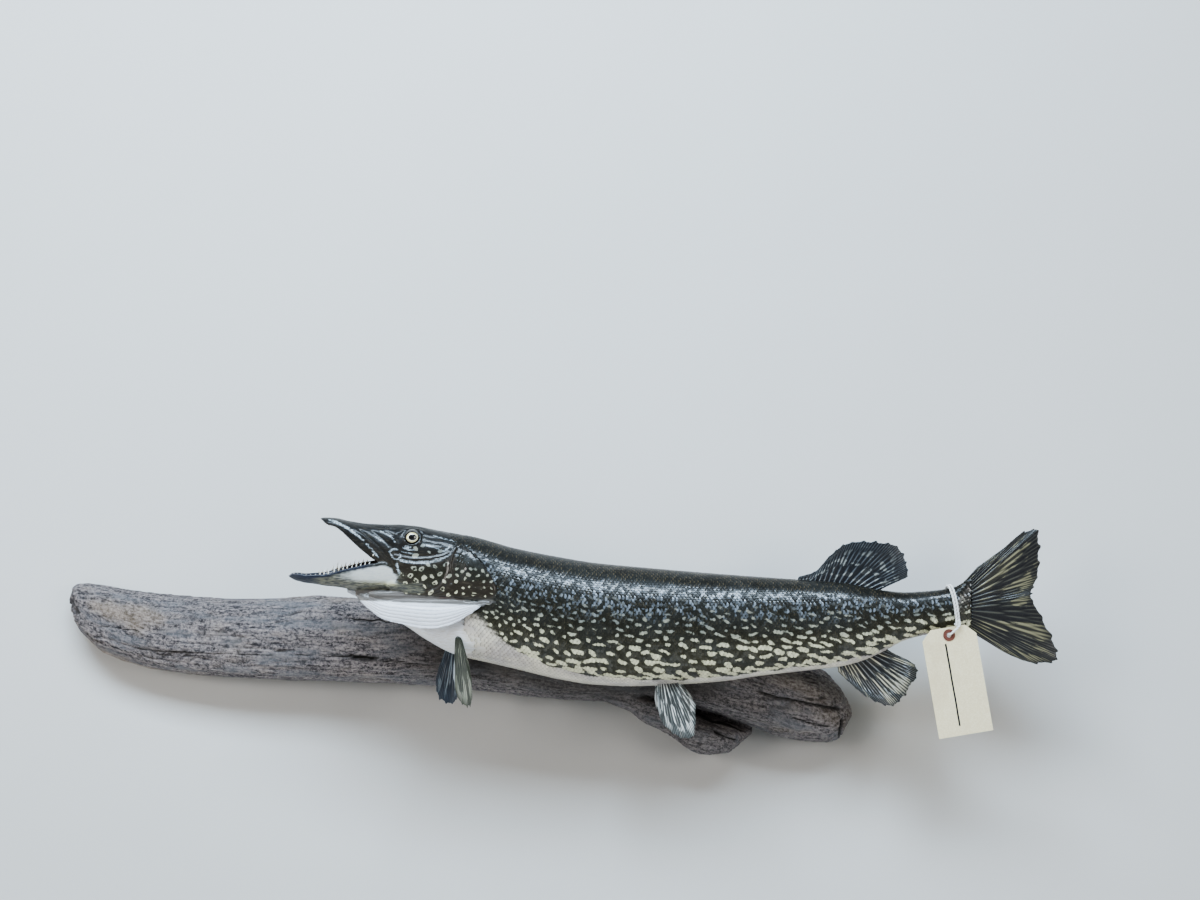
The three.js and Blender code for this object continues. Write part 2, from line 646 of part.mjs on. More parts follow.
/** Moves a piece drawn round the tag's hole, in x and z, to where the tag hangs. */
function hangTag(body) {
  const degrees = THREE.MathUtils.radToDeg(TAG_LEAN);
  return body.rotate([0, -degrees, 0]).translate([TAG_HOLE.x, -TAG_HOLE.offWall, TAG_HOLE.z]);
}

/** The corners of a circle round the tag's hole. */
function circle(radius, sides = 16) {
  return Array.from({ length: sides }, (_, i) => {
    const a = (i / sides) * 2 * Math.PI;
    return new THREE.Vector2(radius * Math.cos(a), radius * Math.sin(a));
  });
}

/** A flat outline in x and z with the tag's hole in it, thick in y from front to back. */
function card(outline, front, back) {
  const shape = new THREE.Shape(outline);
  shape.holes.push(new THREE.Path(circle(TAG_HOLE.radius)));
  const geometry = new THREE.ExtrudeGeometry(shape, { depth: back - front, bevelEnabled: false });
  geometry.rotateX(Math.PI / 2);
  geometry.translate(0, back, 0);
  return solid(geometry);
}

/** The card tag: clipped top corners and a punched hole. */
function makeTag() {
  const { wide, long, thick, clip } = TAG_SIZE;
  const [half, top] = [wide / 2, TAG_HOLE_FROM_TOP];
  const outline = [[-half + clip, top], [half - clip, top], [half, top - clip],
    [half, top - long], [-half, top - long], [-half, top - clip]]
    .map(([x, z]) => new THREE.Vector2(x, z));
  return geometryOf(hangTag(card(outline, -thick / 2, thick / 2)));
}

/** The pressed-paper ring that strengthens the tag's hole, on its front. */
function makeTagRing() {
  const back = -TAG_SIZE.thick / 2 - GAP;
  return geometryOf(hangTag(card(circle(RING_RADIUS), back - RING_THICK, back)));
}

// The string's route: from the tag's hole, once round the tail stem, back through the hole
// and round again beside the first turn, then to the knot above the hole.
const LOOP = { x: 443, lean: 4.4, clear: 2.7, turn: 2.9, points: 19, start: -0.35, sweep: 4.85 };

/** A place on a turn round the tail stem, at an angle up from the left side. */
function loopPlace(angle, shift) {
  const x = LOOP.x + shift - LOOP.lean * Math.sin(angle);
  const ring = { middle: (bodyTop(x) + bodyBottom(x)) / 2, high: (bodyTop(x) - bodyBottom(x)) / 2 };
  const side = -(bodyHalfWidth(x) + LOOP.clear) * squared(Math.cos(angle), BODY_ROUNDNESS);
  const z = ring.middle + (ring.high + LOOP.clear) * squared(Math.sin(angle), BODY_ROUNDNESS);
  return new THREE.Vector3(...bodyPoint(x, side, z));
}

/** The middle line of the string. */
function stringRoute() {
  const hole = [TAG_HOLE.x, -TAG_HOLE.offWall, TAG_HOLE.z];
  const nearHole = (dx, dy, dz) => new THREE.Vector3(hole[0] + dx, hole[1] + dy, hole[2] + dz);
  const angles = spread(LOOP.start, LOOP.start + LOOP.sweep, LOOP.points);
  return new THREE.CatmullRomCurve3([
    nearHole(7.5, -4, 10.5),
    ...angles.map((angle) => loopPlace(angle, -LOOP.turn / 2)),
    nearHole(5, 10, -2.6),
    nearHole(0.7, 3.5, -0.6),
    nearHole(0, -1.6, 0.2),
    nearHole(3.2, -4, 3.4),
    nearHole(10.2, -4.2, 10.5),
    ...angles.map((angle) => loopPlace(angle, LOOP.turn / 2)),
    nearHole(10, 10, -2),
    nearHole(9.4, 4.4, 1.5),
  ], false, 'centripetal');
}

/** The string as a plain tube along its route. */
function makeString() {
  const section = new THREE.Shape(circle(STRING_RADIUS, STRING_SIDES));
  const geometry = new THREE.ExtrudeGeometry(section, {
    steps: STRING_STEPS, extrudePath: stringRoute(),
  });
  return geometryOf(solid(geometry));
}

// ---------------------------------------------------------------- the whole mount

const mount = new THREE.Group();

function addPiece(name, geometry, color, roughness = 0.4, metalness = 0) {
  const flat = geometry.toNonIndexed();
  flat.computeVertexNormals();
  const material = new THREE.MeshStandardMaterial({ color, roughness, metalness });
  const mesh = new THREE.Mesh(flat, material);
  mesh.name = name;
  mount.add(mesh);
}

function main() {
  const coverRoom = [gillCover(-1, GAP), gillCover(1, GAP)];
  const throat = throatSolid();
  const allTrunk = trunkSolid(HEAD_REAR, TAIL_STEM_END + GAP, GAP);

  addPiece('driftwood', makeDriftwood(), COLOURS.wood, 0.9);
  HANGER.places.forEach((_, i) => {
    const place = i === 0 ? 'left' : 'right';
    addPiece(`hanger_${place}`, makeHanger(i), COLOURS.steel, 0.4, 1);
    nailPlaces(i).forEach(([x, z], k) => {
      addPiece(`hanger_${place}_nail_${k + 1}`, makeNail(x, z), COLOURS.steel, 0.4, 1);
    });
  });

  addPiece('head', makeHead(coverRoom), COLOURS.back, 0.25);
  addPiece('lower_jaw', makeLowerJaw(), COLOURS.jaw, 0.3);
  addPiece('tongue', makeTongue(), COLOURS.tongue, 0.3);
  for (const [name, side] of [['left', -1], ['right', 1]]) {
    addPiece(`eye_${name}`, geometryOf(eyeball(side)), COLOURS.eye, 0.05);
    addPiece(`gill_cover_${name}`, geometryOf(gillCover(side)), COLOURS.flank, 0.25);
    const clear = [throatSolid(GAP), headSolid(GAP), gillCover(side, GAP),
      bodyLoft(JAW_STATIONS.map(jawRing)), allTrunk];
    addPiece(`gill_membrane_${name}`, makeMembrane(side, clear), COLOURS.membrane, 0.3);
  }
  addPiece('throat', geometryOf(throat.subtract(headSolid(GAP))
    .subtract(coverRoom[0]).subtract(coverRoom[1])), COLOURS.belly, 0.3);

  const front = trunkSolid(HEAD_REAR + GAP, TRUNK_MIDDLE);
  addPiece('trunk_front', geometryOf(front.subtract(coverRoom[0]).subtract(coverRoom[1])),
    COLOURS.flank, 0.25);
  addPiece('trunk_rear', geometryOf(trunkSolid(TRUNK_MIDDLE + GAP, TRUNK_REAR)),
    COLOURS.flank, 0.25);
  addPiece('tail_stem', geometryOf(trunkSolid(TRUNK_REAR + GAP, TAIL_STEM_END)),
    COLOURS.flank, 0.25);

  const fin = (name, shape) => addPiece(name,
    geometryOf(makeFin(shape).subtract(allTrunk).subtract(throatSolid(GAP))), COLOURS.fin, 0.35);
  fin('dorsal_fin', DORSAL);
  fin('anal_fin', ANAL);
  fin('caudal_fin', CAUDAL);
  fin('pectoral_fin_left', LEFT_PECTORAL);
  fin('pectoral_fin_right', RIGHT_PECTORAL);
  fin('pelvic_fin_left', { ...PELVIC, side: -PELVIC_SIDE, rimSide: -PELVIC_SIDE - 16 });
  fin('pelvic_fin_right', { ...PELVIC, side: PELVIC_SIDE, rimSide: PELVIC_SIDE + 6 });

  addPiece('tag', makeTag(), COLOURS.card, 0.8);
  addPiece('tag_ring', makeTagRing(), COLOURS.ring, 0.8);
  addPiece('tag_string', makeString(), COLOURS.cotton, 0.9);
}

main();
export default mount;
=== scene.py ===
# %% [markdown]
# A northern pike, mounted by a taxidermist: the cured skin is drawn over a form, painted,
# varnished and fixed to a split length of driftwood. A card tag is tied round its tail.
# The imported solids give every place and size, and this lesson makes the surfaces that
# the eye sees: one seamless skin with its coat of scales, fins with rays, glass eyes,
# teeth, weathered wood, card and cotton.

# %% Load the frame
import math

import bpy
import numpy as np
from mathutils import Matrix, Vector
from mathutils.bvhtree import BVHTree
from mathutils.kdtree import KDTree


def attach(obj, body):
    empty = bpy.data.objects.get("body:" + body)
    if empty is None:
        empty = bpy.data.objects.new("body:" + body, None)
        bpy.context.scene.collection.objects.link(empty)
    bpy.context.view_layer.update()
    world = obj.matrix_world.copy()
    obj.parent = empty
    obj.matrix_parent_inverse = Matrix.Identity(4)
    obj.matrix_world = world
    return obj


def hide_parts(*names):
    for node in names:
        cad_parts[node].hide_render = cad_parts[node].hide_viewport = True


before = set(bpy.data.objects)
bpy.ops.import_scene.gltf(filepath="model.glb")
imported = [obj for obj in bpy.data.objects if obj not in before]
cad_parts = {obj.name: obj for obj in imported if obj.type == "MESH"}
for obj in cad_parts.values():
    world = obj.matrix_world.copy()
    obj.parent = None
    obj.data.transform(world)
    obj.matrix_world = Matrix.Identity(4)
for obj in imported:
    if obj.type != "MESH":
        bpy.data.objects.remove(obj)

MM = 0.001                                   # the places below are in millimetres
bpy.context.view_layer.update()

# %% [markdown]
# The camera comes first. It stands 1.5 m in front of the wall and looks up by 1.9 degrees,
# so the mount sits in the lower half of the view.

# %% Camera
CAMERA_PLACE = (0.04766, -1.5, 0.18867)
CAMERA_PITCH = math.radians(90 + 1.9)
CAMERA_LENS = 37.59
SENSOR_WIDTH = 36


def deselect():
    """Leave nothing selected and no edit mode open, so the next operator has a clean start."""
    if bpy.context.mode != "OBJECT":
        bpy.ops.object.mode_set(mode="OBJECT")
    bpy.ops.object.select_all(action="DESELECT")


deselect()
bpy.ops.object.camera_add(location=CAMERA_PLACE, rotation=(CAMERA_PITCH, 0, 0))
camera = bpy.context.object
camera.name = "camera"
camera.data.lens = CAMERA_LENS
camera.data.sensor_width = SENSOR_WIDTH
bpy.context.scene.camera = camera
print("camera at", CAMERA_PLACE, "lens", CAMERA_LENS)

# %% [markdown]
# A shape that repeats or follows a formula is built from arrays. `mesh_piece` turns an
# array of points in millimetres and an array of faces into an object at the origin, with
# its place in its mesh.

# %% Mesh helpers


def mesh_piece(name, points, faces):
    """An object from points in mm and an array of faces with equal corner counts."""
    mesh = bpy.data.meshes.new(name)
    mesh.vertices.add(len(points))
    mesh.vertices.foreach_set("co", (np.asarray(points) * MM).astype(np.float32).ravel())
    mesh.loops.add(faces.size)
    mesh.loops.foreach_set("vertex_index", faces.astype(np.int32).ravel())
    mesh.polygons.add(len(faces))
    starts = np.arange(0, faces.size, faces.shape[1], dtype=np.int32)
    mesh.polygons.foreach_set("loop_start", starts)
    mesh.update(calc_edges=True)
    mesh.validate()
    mesh.polygons.foreach_set("use_smooth", np.full(len(mesh.polygons), True))
    piece = bpy.data.objects.new(name, mesh)
    bpy.context.scene.collection.objects.link(piece)
    return piece


def grid(x, y, z):
    """Three arrays, spread to one shape, as an array of points."""
    return np.stack(np.broadcast_arrays(x, y, z), -1)


def unit(vectors):
    """The vectors, each scaled to a length of 1."""
    return vectors / np.linalg.norm(vectors, axis=-1, keepdims=True)


def triangles_of(quads):
    """Each quad as two triangles."""
    return np.concatenate([quads[:, [0, 1, 2]], quads[:, [0, 2, 3]]])


def outwards(points, triangles):
    """The triangles, turned if need be so that a closed shell faces outwards."""
    a, b, c = (points[triangles[:, k]] for k in range(3))
    volume = np.einsum("ij,ij->i", a, np.cross(b, c)).sum()
    return triangles[:, ::-1] if volume < 0 else triangles


def loft(rings):
    """A closed shell over rings of points, an array of (rings, points, 3)."""
    rows, cols = rings.shape[:2]
    i, j = np.meshgrid(np.arange(rows - 1), np.arange(cols), indexing="ij")
    a, b = i * cols + j, i * cols + (j + 1) % cols
    quads = np.stack([a, b, b + cols, a + cols], -1).reshape(-1, 4)
    points = rings.reshape(-1, 3)
    ends = [rings[0].mean(0), rings[-1].mean(0)]
    j = np.arange(cols)
    onward = (j + 1) % cols
    first = grid(onward, j, rows * cols)
    last = (rows - 1) * cols + grid(j, onward, cols + 1)
    triangles = np.concatenate([triangles_of(quads), first, last])
    points = np.concatenate([points, ends])
    return points, outwards(points, triangles)


def listed(items, field, width, kind=np.float32):
    """One field of all the items of a mesh, as rows of this width."""
    flat = np.empty(len(items) * width, kind)
    items.foreach_get(field, flat)
    return flat.reshape(-1, width)


def coordinates(piece):
    """The piece's vertices as an array, in mm."""
    return listed(piece.data.vertices, "co", 3).astype(float) / MM


def move_vertices(piece, points):
    """Put the piece's vertices at these places, in mm."""
    piece.data.vertices.foreach_set("co", (points * MM).astype(np.float32).ravel())
    piece.data.update()


def vertex_normals(piece):
    """Outward directions at the vertices."""
    return listed(piece.data.vertex_normals, "vector", 3).astype(float)


def edges_of(piece):
    """The two vertices of each edge."""
    return listed(piece.data.edges, "vertices", 2, np.int32)


def corners_of(piece):
    """The three vertices of each triangle."""
    return listed(piece.data.loop_triangles, "vertices", 3, np.int32)


def paint(piece, name, values):
    """Write an attribute at the vertices: one number each, or three."""
    values = np.asarray(values, np.float32)
    kind, field = ("FLOAT", "value") if values.ndim == 1 else ("FLOAT_VECTOR", "vector")
    layer = piece.data.attributes.new(name, kind, "POINT")
    layer.data.foreach_set(field, values.ravel())


def select_only(piece):
    """Make the piece the only one selected, and active."""
    deselect()
    piece.select_set(True)
    bpy.context.view_layer.objects.active = piece


def edit_all(piece, operator, **settings):
    """Run an operator on all of a piece in edit mode."""
    select_only(piece)
    bpy.ops.object.mode_set(mode="EDIT")
    bpy.ops.mesh.select_all(action="SELECT")
    operator(**settings)
    bpy.ops.object.mode_set(mode="OBJECT")


def apply_modifier(piece, kind, **settings):
    """Add a modifier with these settings and apply it."""
    select_only(piece)
    bpy.ops.object.modifier_add(type=kind)
    modifier = piece.modifiers[-1]
    for key, value in settings.items():
        setattr(modifier, key, value)
    bpy.ops.object.modifier_apply(modifier=modifier.name)


def finish_piece(piece, material, slot, *nodes):
    """Give a piece its material, its body and the solids it stands for; slot is not used."""
    piece.data.materials.clear()
    piece.data.materials.append(material)
    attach(piece, "root")
    if nodes:
        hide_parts(*nodes)
    print(piece.name, "has", len(piece.data.polygons), "faces")


# %% [markdown]
# Smooth curves through named places drive the whole fish. `track` is a monotone cubic: it
# passes through its [place, value] points without overshooting, so no bump appears that
# isn't in the list.

# %% Curves


def track(points):
    """A smooth function through [x, value] points that doesn't overshoot them."""
    xs, vs = np.array(points, float).T
    steps = np.diff(vs) / np.diff(xs)
    before, after = steps[:-1], steps[1:]
    total = np.where(before + after == 0, 1, before + after)
    inner = np.where(before * after <= 0, 0, 2 * before * after / total)
    slopes = np.concatenate([[steps[0]], inner, [steps[-1]]])

    def value(x):
        x = np.clip(np.asarray(x, float), xs[0], xs[-1])
        i = np.clip(np.searchsorted(xs, x, side="right") - 1, 0, len(xs) - 2)
        width = xs[i + 1] - xs[i]
        s = (x - xs[i]) / width
        lift = s * (1 - s) * ((1 - s) * slopes[i] - s * slopes[i + 1])
        return vs[i] + (vs[i + 1] - vs[i]) * s * s * (3 - 2 * s) + width * lift
    return value


def smoothstep(low, high, x):
    """0 below low, 1 above high, and a smooth ramp between them."""
    s = np.clip((np.asarray(x, float) - low) / (high - low), 0, 1)
    return s * s * (3 - 2 * s)


def squared(value, roundness):
    """A signed power, which squares off a round section."""
    return np.sign(value) * np.abs(value) ** (2 / roundness)


BODY_OFF_WALL = 92
SWING_RADIUS = 1500
HEAD_SWING_START = 150
TAIL_SWING_START = 420


def body_swing(x):
    """How far the body's middle swings out of the wall's plane at x, and its slope."""
    head = np.maximum(0, HEAD_SWING_START - x)
    tail = np.maximum(0, x - TAIL_SWING_START)
    return (head ** 2 + tail ** 2) / (2 * SWING_RADIUS), (head - tail) / SWING_RADIUS


def posed(places):
    """Body places (x along, side across, z up) as points in the mount's own frame."""
    x, side, z = np.moveaxis(np.asarray(places, float), -1, 0)
    out, slope = body_swing(x)
    length = np.hypot(1, slope)
    return np.stack([x - side * slope / length, -BODY_OFF_WALL - out + side / length, z], -1)


ROUNDS_TO_STRAIGHTEN = 8


def body_places(points):
    """The other way round: where points of the frame lie in the straight body."""
    x = points[:, 0].copy()
    for _ in range(ROUNDS_TO_STRAIGHTEN):
        out, slope = body_swing(x)
        length = np.hypot(1, slope)
        side = (points[:, 1] + BODY_OFF_WALL + out) * length
        x = points[:, 0] + side * slope / length
    return np.stack([x, side, points[:, 2]], -1)


body_top = track([
    [-140, 148], [-120, 144.2], [-97, 140.5], [-75, 134.5], [-50, 127], [0, 116.5],
    [41, 109.5], [83, 105.3], [180, 97], [272, 90.4], [320, 87], [360, 79.5], [389, 76.4],
    [423, 78.5], [445, 82.5], [462, 92.5]])
body_bottom = track([
    [-140, 20], [-100, 5.5], [-75, -0.5], [-27, -12.7], [0, -19.5], [41, -26.2],
    [83, -28.4], [133, -26.8], [180, -23.6], [227, -17], [272, -12], [317, -6.6],
    [340, -0.5], [360, 8], [389, 22.5], [423, 30], [445, 32], [462, 31.5]])
body_half_width = track([
    [-140, 33], [-100, 37.5], [-50, 41], [0, 43], [60, 43.8], [133, 41.5], [180, 38.8],
    [227, 35.2], [272, 31], [317, 26.5], [360, 20.5], [389, 17], [423, 14.2], [441, 12.3],
    [453, 8.2], [462, 4]])
BODY_ROUNDNESS = 2.25


def body_middle(x):
    """The height of the trunk's middle at x, and half its depth."""
    return (body_top(x) + body_bottom(x)) / 2, (body_top(x) - body_bottom(x)) / 2


def trunk_place(x, angle, grow=0):
    """A body place on the trunk at x, at an angle up from the right side."""
    middle, high = body_middle(x)
    side = (body_half_width(x) + grow) * squared(np.cos(angle), BODY_ROUNDNESS)
    return grid(x, side, middle + (high + grow) * squared(np.sin(angle), BODY_ROUNDNESS))


print("the trunk is", round(float(body_top(60) - body_bottom(60)), 1), "mm deep at x = 60")

# %% [markdown]
# The tag's string is the one loose, flexible piece, so its route is settled next. It is
# cotton of 2.6 mm, laid twice round the tail stem and through the tag's punched hole, and
# knotted. Its path is the same smooth curve as the solid's. The cotton is a mesh tube of
# three twisted strands, which catches the light as cord does, and a small overhand knot
# closes the free ends.

# %% String route
TAG_HOLE = np.array([432.5, -112, 30.5])
STRING_DIAMETER = 2.6
LOOP = dict(x=443, lean=4.4, clear=2.7, turn=2.9, points=19, start=-0.35, sweep=4.85)


def loop_places(shift):
    """One turn of the string round the tail stem, as points in the frame."""
    angle = np.linspace(LOOP["start"], LOOP["start"] + LOOP["sweep"], LOOP["points"])
    x = LOOP["x"] + shift - LOOP["lean"] * np.sin(angle)
    return posed(trunk_place(x, angle, LOOP["clear"]) * [1, -1, 1])


def near_hole(*offsets):
    """Points given by their offsets from the tag's hole."""
    return TAG_HOLE + np.array(offsets, float)


string_corners = np.concatenate([
    near_hole([7.5, -4, 10.5]),
    loop_places(-LOOP["turn"] / 2),
    near_hole([5, 10, -2.6], [0.7, 3.5, -0.6], [0, -1.6, 0.2], [3.2, -4, 3.4],
              [10.2, -4.2, 10.5]),
    loop_places(LOOP["turn"] / 2),
    near_hole([10, 10, -2], [9.4, 4.4, 1.5])])


def centripetal(corners, steps):
    """A smooth line through the corners whose knots are spaced by the chords' square roots."""
    ends = [2 * corners[0] - corners[1]], [2 * corners[-1] - corners[-2]]
    p = np.concatenate([ends[0], corners, ends[1]])
    line = []
    for i in range(1, len(p) - 2):
        knots = [0.0]
        for k in range(3):
            knots.append(knots[-1] + np.linalg.norm(p[i + k] - p[i + k - 1]) ** 0.5)
        t = np.linspace(knots[1], knots[2], steps, endpoint=False)[:, None]

        def mix(a, b, low, high):
            return ((high - t) * a + (t - low) * b) / (high - low)
        a1 = mix(p[i - 1], p[i], knots[0], knots[1])
        a2 = mix(p[i], p[i + 1], knots[1], knots[2])
        a3 = mix(p[i + 1], p[i + 2], knots[2], knots[3])
        b1 = mix(a1, a2, knots[0], knots[2])
        b2 = mix(a2, a3, knots[1], knots[3])
        line.append(mix(b1, b2, knots[1], knots[2]))
    return np.concatenate(line + [corners[-1:]])


def run_of(line):
    """How far along the line each of its points is."""
    return np.concatenate([[0], np.cumsum(np.linalg.norm(np.diff(line, axis=0), axis=1))])


def even_line(line, spacing):
    """The same line with evenly spaced points, and its length."""
    run = run_of(line)
    places = np.linspace(0, run[-1], int(run[-1] / spacing) + 1)
    return np.stack([np.interp(places, run, line[:, k]) for k in range(3)], -1), run[-1]


STRING_STEP = 0.55
CURVE_STEPS = 12                 # from one corner to the next
string_line, string_length = even_line(centripetal(string_corners, CURVE_STEPS), STRING_STEP)
print("the string is", round(string_length, 1), "mm long in", len(string_line), "steps")


def frames_along(line):
    """Two crosswise vectors at each point of a line, without sudden twist."""
    along = unit(np.gradient(line, axis=0))
    across = np.empty_like(along)
    guess = np.cross(along[0], [0.3, 0.5, 0.8])
    for i, way in enumerate(along):
        guess = unit(guess - way * guess.dot(way))
        across[i] = guess
    return across, np.cross(along, across)


def round_turn(count):
    """Evenly spaced angles round a circle."""
    return np.arange(count) / count * 2 * np.pi


def tube(line, radius, sides=16, lobes=0, lobe_depth=0.0, twist=0.0):
    """Rings round a line; lobes turn as they go along and make twisted strands."""
    u, v = frames_along(line)
    run = run_of(line)
    a = round_turn(sides)
    wave = 1 - lobe_depth * (0.5 - 0.5 * np.cos(lobes * (a[None] - twist * run[:, None])))
    reach = np.broadcast_to(np.asarray(radius, float), run.shape)[:, None] * wave
    ring = np.cos(a)[None, :, None] * u[:, None] + np.sin(a)[None, :, None] * v[:, None]
    return line[:, None] + reach[..., None] * ring

# %% [markdown]
# The skin is one closed mesh, as the real one is one cured skin. Its parts are first laid
# down as separate closed shells from the same curves as the solids: the trunk, the upper
# head with the palate under it, the lower jaw with its trough, the tongue, the throat, the
# flared gill membranes and the gill covers. Lips, lids and ridges are soft rolls laid on
# them, as a modeller adds strips of clay. A voxel remesh then melts all of it into one
# surface, and the folds are pressed in afterwards.

# %% Shells of the body
COAT_DEPTH = 0.9                 # how far the skin lies inside the solids, under its scales
SKIN_DEPTH_ON_HEAD = 0.35
STATION = 2.2                    # between the rings of a shell

head_top = track([
    [-254, 160.4], [-250, 161.2], [-238, 160.6], [-222, 156.6], [-206, 153.8],
    [-190, 152.8], [-171, 152.3], [-150, 150.3], [-133, 147], [-110, 142.4], [-97, 140.5],
    [-75, 134.5], [-60, 130]])
head_edge = track([
    [-254, 158.6], [-247, 153.8], [-239, 151], [-232, 146], [-218, 132], [-204, 119.5],
    [-194, 113], [-181, 107], [-174, 84], [-163, 77.6], [-130, 75.6], [-60, 74]])
head_half_width = track([
    [-254, 4], [-252, 9], [-247, 14.5], [-236, 19], [-222, 21.5], [-200, 24.5],
    [-175, 27.5], [-157, 29.5], [-133, 33], [-100, 37.5], [-60, 38.5]])
head_boxy = track([
    [-254, 2.1], [-235, 2.4], [-200, 2.8], [-165, 3.3], [-140, 3], [-110, 2.6],
    [-60, 2.3]])
palate_rise = track([
    [-254, 0.4], [-248, 2.2], [-236, 4.5], [-222, 10], [-200, 19], [-182, 24],
    [-174, 44], [-163, 42], [-150, 22], [-144, 6]])
jaw_rim = track([
    [-286, 99.2], [-280, 101], [-267, 99.6], [-250, 100], [-235, 104], [-218, 108],
    [-205, 110.5], [-191, 112], [-176, 106], [-168, 100]])
jaw_under = track([
    [-286, 97.6], [-280, 94], [-272, 91.5], [-258, 88.8], [-228, 84], [-212, 81.4],
    [-190, 79.4], [-168, 78]])
jaw_half_width = track([
    [-286, 3.5], [-283, 8.5], [-277, 13], [-265, 17], [-250, 20], [-228, 23.4],
    [-205, 25.8], [-190, 27], [-168, 29]])
jaw_trough = track([
    [-286, 0.4], [-276, 3.2], [-262, 5], [-240, 11], [-215, 19], [-190, 24], [-168, 16]])
membrane_top = track([
    [-222, 82], [-205, 79], [-190, 76], [-166, 74.4], [-127, 72], [-75, 71.5]])
membrane_bottom = track([
    [-222, 79], [-218.6, 76], [-211.5, 68], [-203, 60.5], [-190, 51.2], [-167, 45.5],
    [-148, 41.9], [-135, 41.3], [-123, 44], [-113, 48], [-98, 56.2], [-82, 67]])
membrane_root = track([[-222, 5], [-190, 16], [-166, 22], [-127, 29], [-75, 36]])
membrane_hem = track([
    [-222, 7], [-205, 17], [-190, 25], [-166, 32], [-134, 38], [-109, 41], [-75, 41]])
throat_under = track([
    [-226, 79], [-203, 67], [-183, 53.5], [-161, 39], [-145, 27.5], [-114, 10],
    [-100, 5.5], [-75, -0.5]])
throat_half_width = track([
    [-226, 3], [-203, 8], [-183, 12], [-161, 17], [-145, 21.5], [-114, 31], [-88, 37]])
EYE = np.array([-159.6, 17.6, 138.8])
EYE_RADIUS = 9.4

shells = []                      # (points, triangles, names of the regions, one per point)


def add_shell(rings, regions):
    """Keep a posed shell; regions names each place of a ring, for painting later."""
    points, triangles = loft(posed(rings))
    names = np.concatenate([np.tile(regions, len(rings)), [regions[0], regions[0]]])
    shells.append((points, triangles, names))


def stations(start, end):
    """Evenly spaced ring places from start to end."""
    return np.linspace(start, end, int((end - start) / STATION) + 2)


TRUNK_POINTS, HEAD_POINTS, JAW_POINTS, MOUTH_POINTS = 96, 73, 49, 31     # of a ring
TONGUE_POINTS, THROAT_POINTS = 32, 64
SIDE_ROUNDER = 0.4               # the head's sides against its crown
HEAD_WALL, JAW_WALL, THIN_WALL = 3.4, 3.2, 0.45
JAW_BOXY, THROAT_BOXY = 2.6, 2.3


def head_rings(x, grow):
    """Rings over the head from lip to lip, and back under the palate."""
    x = x[:, None]
    top, edge, wide = head_top(x) + grow, head_edge(x) - grow, head_half_width(x) + grow
    boxy = head_boxy(x)
    a = np.linspace(np.pi, 0, HEAD_POINTS)[None]
    over = grid(x, wide * squared(np.cos(a), boxy + SIDE_ROUNDER),
                edge + (top - edge) * np.abs(squared(np.sin(a), boxy)))
    rise = palate_rise(x) * (1 - smoothstep(-150, -140, x)) + 0.2
    inner = np.maximum(wide * THIN_WALL, wide - HEAD_WALL - grow)
    a = np.linspace(0.04, 0.96, MOUTH_POINTS)[None] * np.pi
    under = grid(x, inner * squared(np.cos(a), 2.4), edge + rise * np.sin(a))
    return np.concatenate([over, under], 1)


def jaw_rings(x, grow):
    """Rings round the lower jaw's underside and down into its trough."""
    x = x[:, None]
    rim, under, wide = jaw_rim(x) + grow * 0.3, jaw_under(x) - grow, jaw_half_width(x) + grow
    a = np.linspace(0, np.pi, JAW_POINTS)[None]
    outside = grid(x, wide * squared(np.cos(a), JAW_BOXY),
                   rim - (rim - under) * np.abs(squared(np.sin(a), JAW_BOXY)))
    inner = np.maximum(wide * THIN_WALL, wide - JAW_WALL)
    a = np.linspace(0.96, 0.04, MOUTH_POINTS)[None] * np.pi
    inside = grid(x, inner * squared(np.cos(a), 3), rim - jaw_trough(x) * np.sin(a))
    return np.concatenate([outside, inside], 1)


add_shell(trunk_place(stations(-104, 462)[:, None], round_turn(TRUNK_POINTS)[None],
                      -COAT_DEPTH), ["trunk"] * TRUNK_POINTS)
head_x = np.concatenate([[-254, -253.3, -252.4, -251], stations(-249, -80)])
head_grow = -SKIN_DEPTH_ON_HEAD - 4.5 * smoothstep(-114, -84, head_x)[:, None]
add_shell(head_rings(head_x, head_grow), ["head"] * HEAD_POINTS + ["palate"] * MOUTH_POINTS)
jaw_x = np.concatenate([[-286, -285.4, -284.4, -282.8], stations(-280.6, -152)])
jaw_grow = -SKIN_DEPTH_ON_HEAD - 2.6 * smoothstep(-184, -166, jaw_x)[:, None]
add_shell(jaw_rings(jaw_x, jaw_grow), ["jaw"] * JAW_POINTS + ["trough"] * MOUTH_POINTS)

tongue_wide = track([[-256, 3], [-250, 6.5], [-235, 9], [-200, 10.5], [-182, 10]])
tongue_x = stations(-256, -182)[:, None]
a = round_turn(TONGUE_POINTS)[None]
floor_z = jaw_rim(tongue_x) - jaw_trough(tongue_x)
dip = -0.9 * np.exp(-(np.cos(a) / 0.25) ** 2) * (np.sin(a) > 0)
tongue_z = floor_z + 2.4 + np.where(np.sin(a) > 0, 3, 2.6) * np.sin(a) + dip
add_shell(grid(tongue_x, tongue_wide(tongue_x) * np.cos(a), tongue_z),
          ["tongue"] * TONGUE_POINTS)

throat_x = stations(-226, -80)[:, None]
throat_top = np.minimum(np.where(throat_x < -166, jaw_under(throat_x), 77), 84) - 0.4
a = round_turn(THROAT_POINTS)[None]
throat_sunk = 0.5 + 4 * smoothstep(-112, -84, throat_x)
low = throat_under(throat_x) + throat_sunk
throat_side = (throat_half_width(throat_x) - throat_sunk) * squared(np.cos(a), THROAT_BOXY)
throat_z = (throat_top + low) / 2 + (throat_top - low) / 2 * squared(np.sin(a), THROAT_BOXY)
add_shell(grid(throat_x, throat_side, throat_z), ["throat"] * THROAT_POINTS)
print(len(shells), "shells so far")

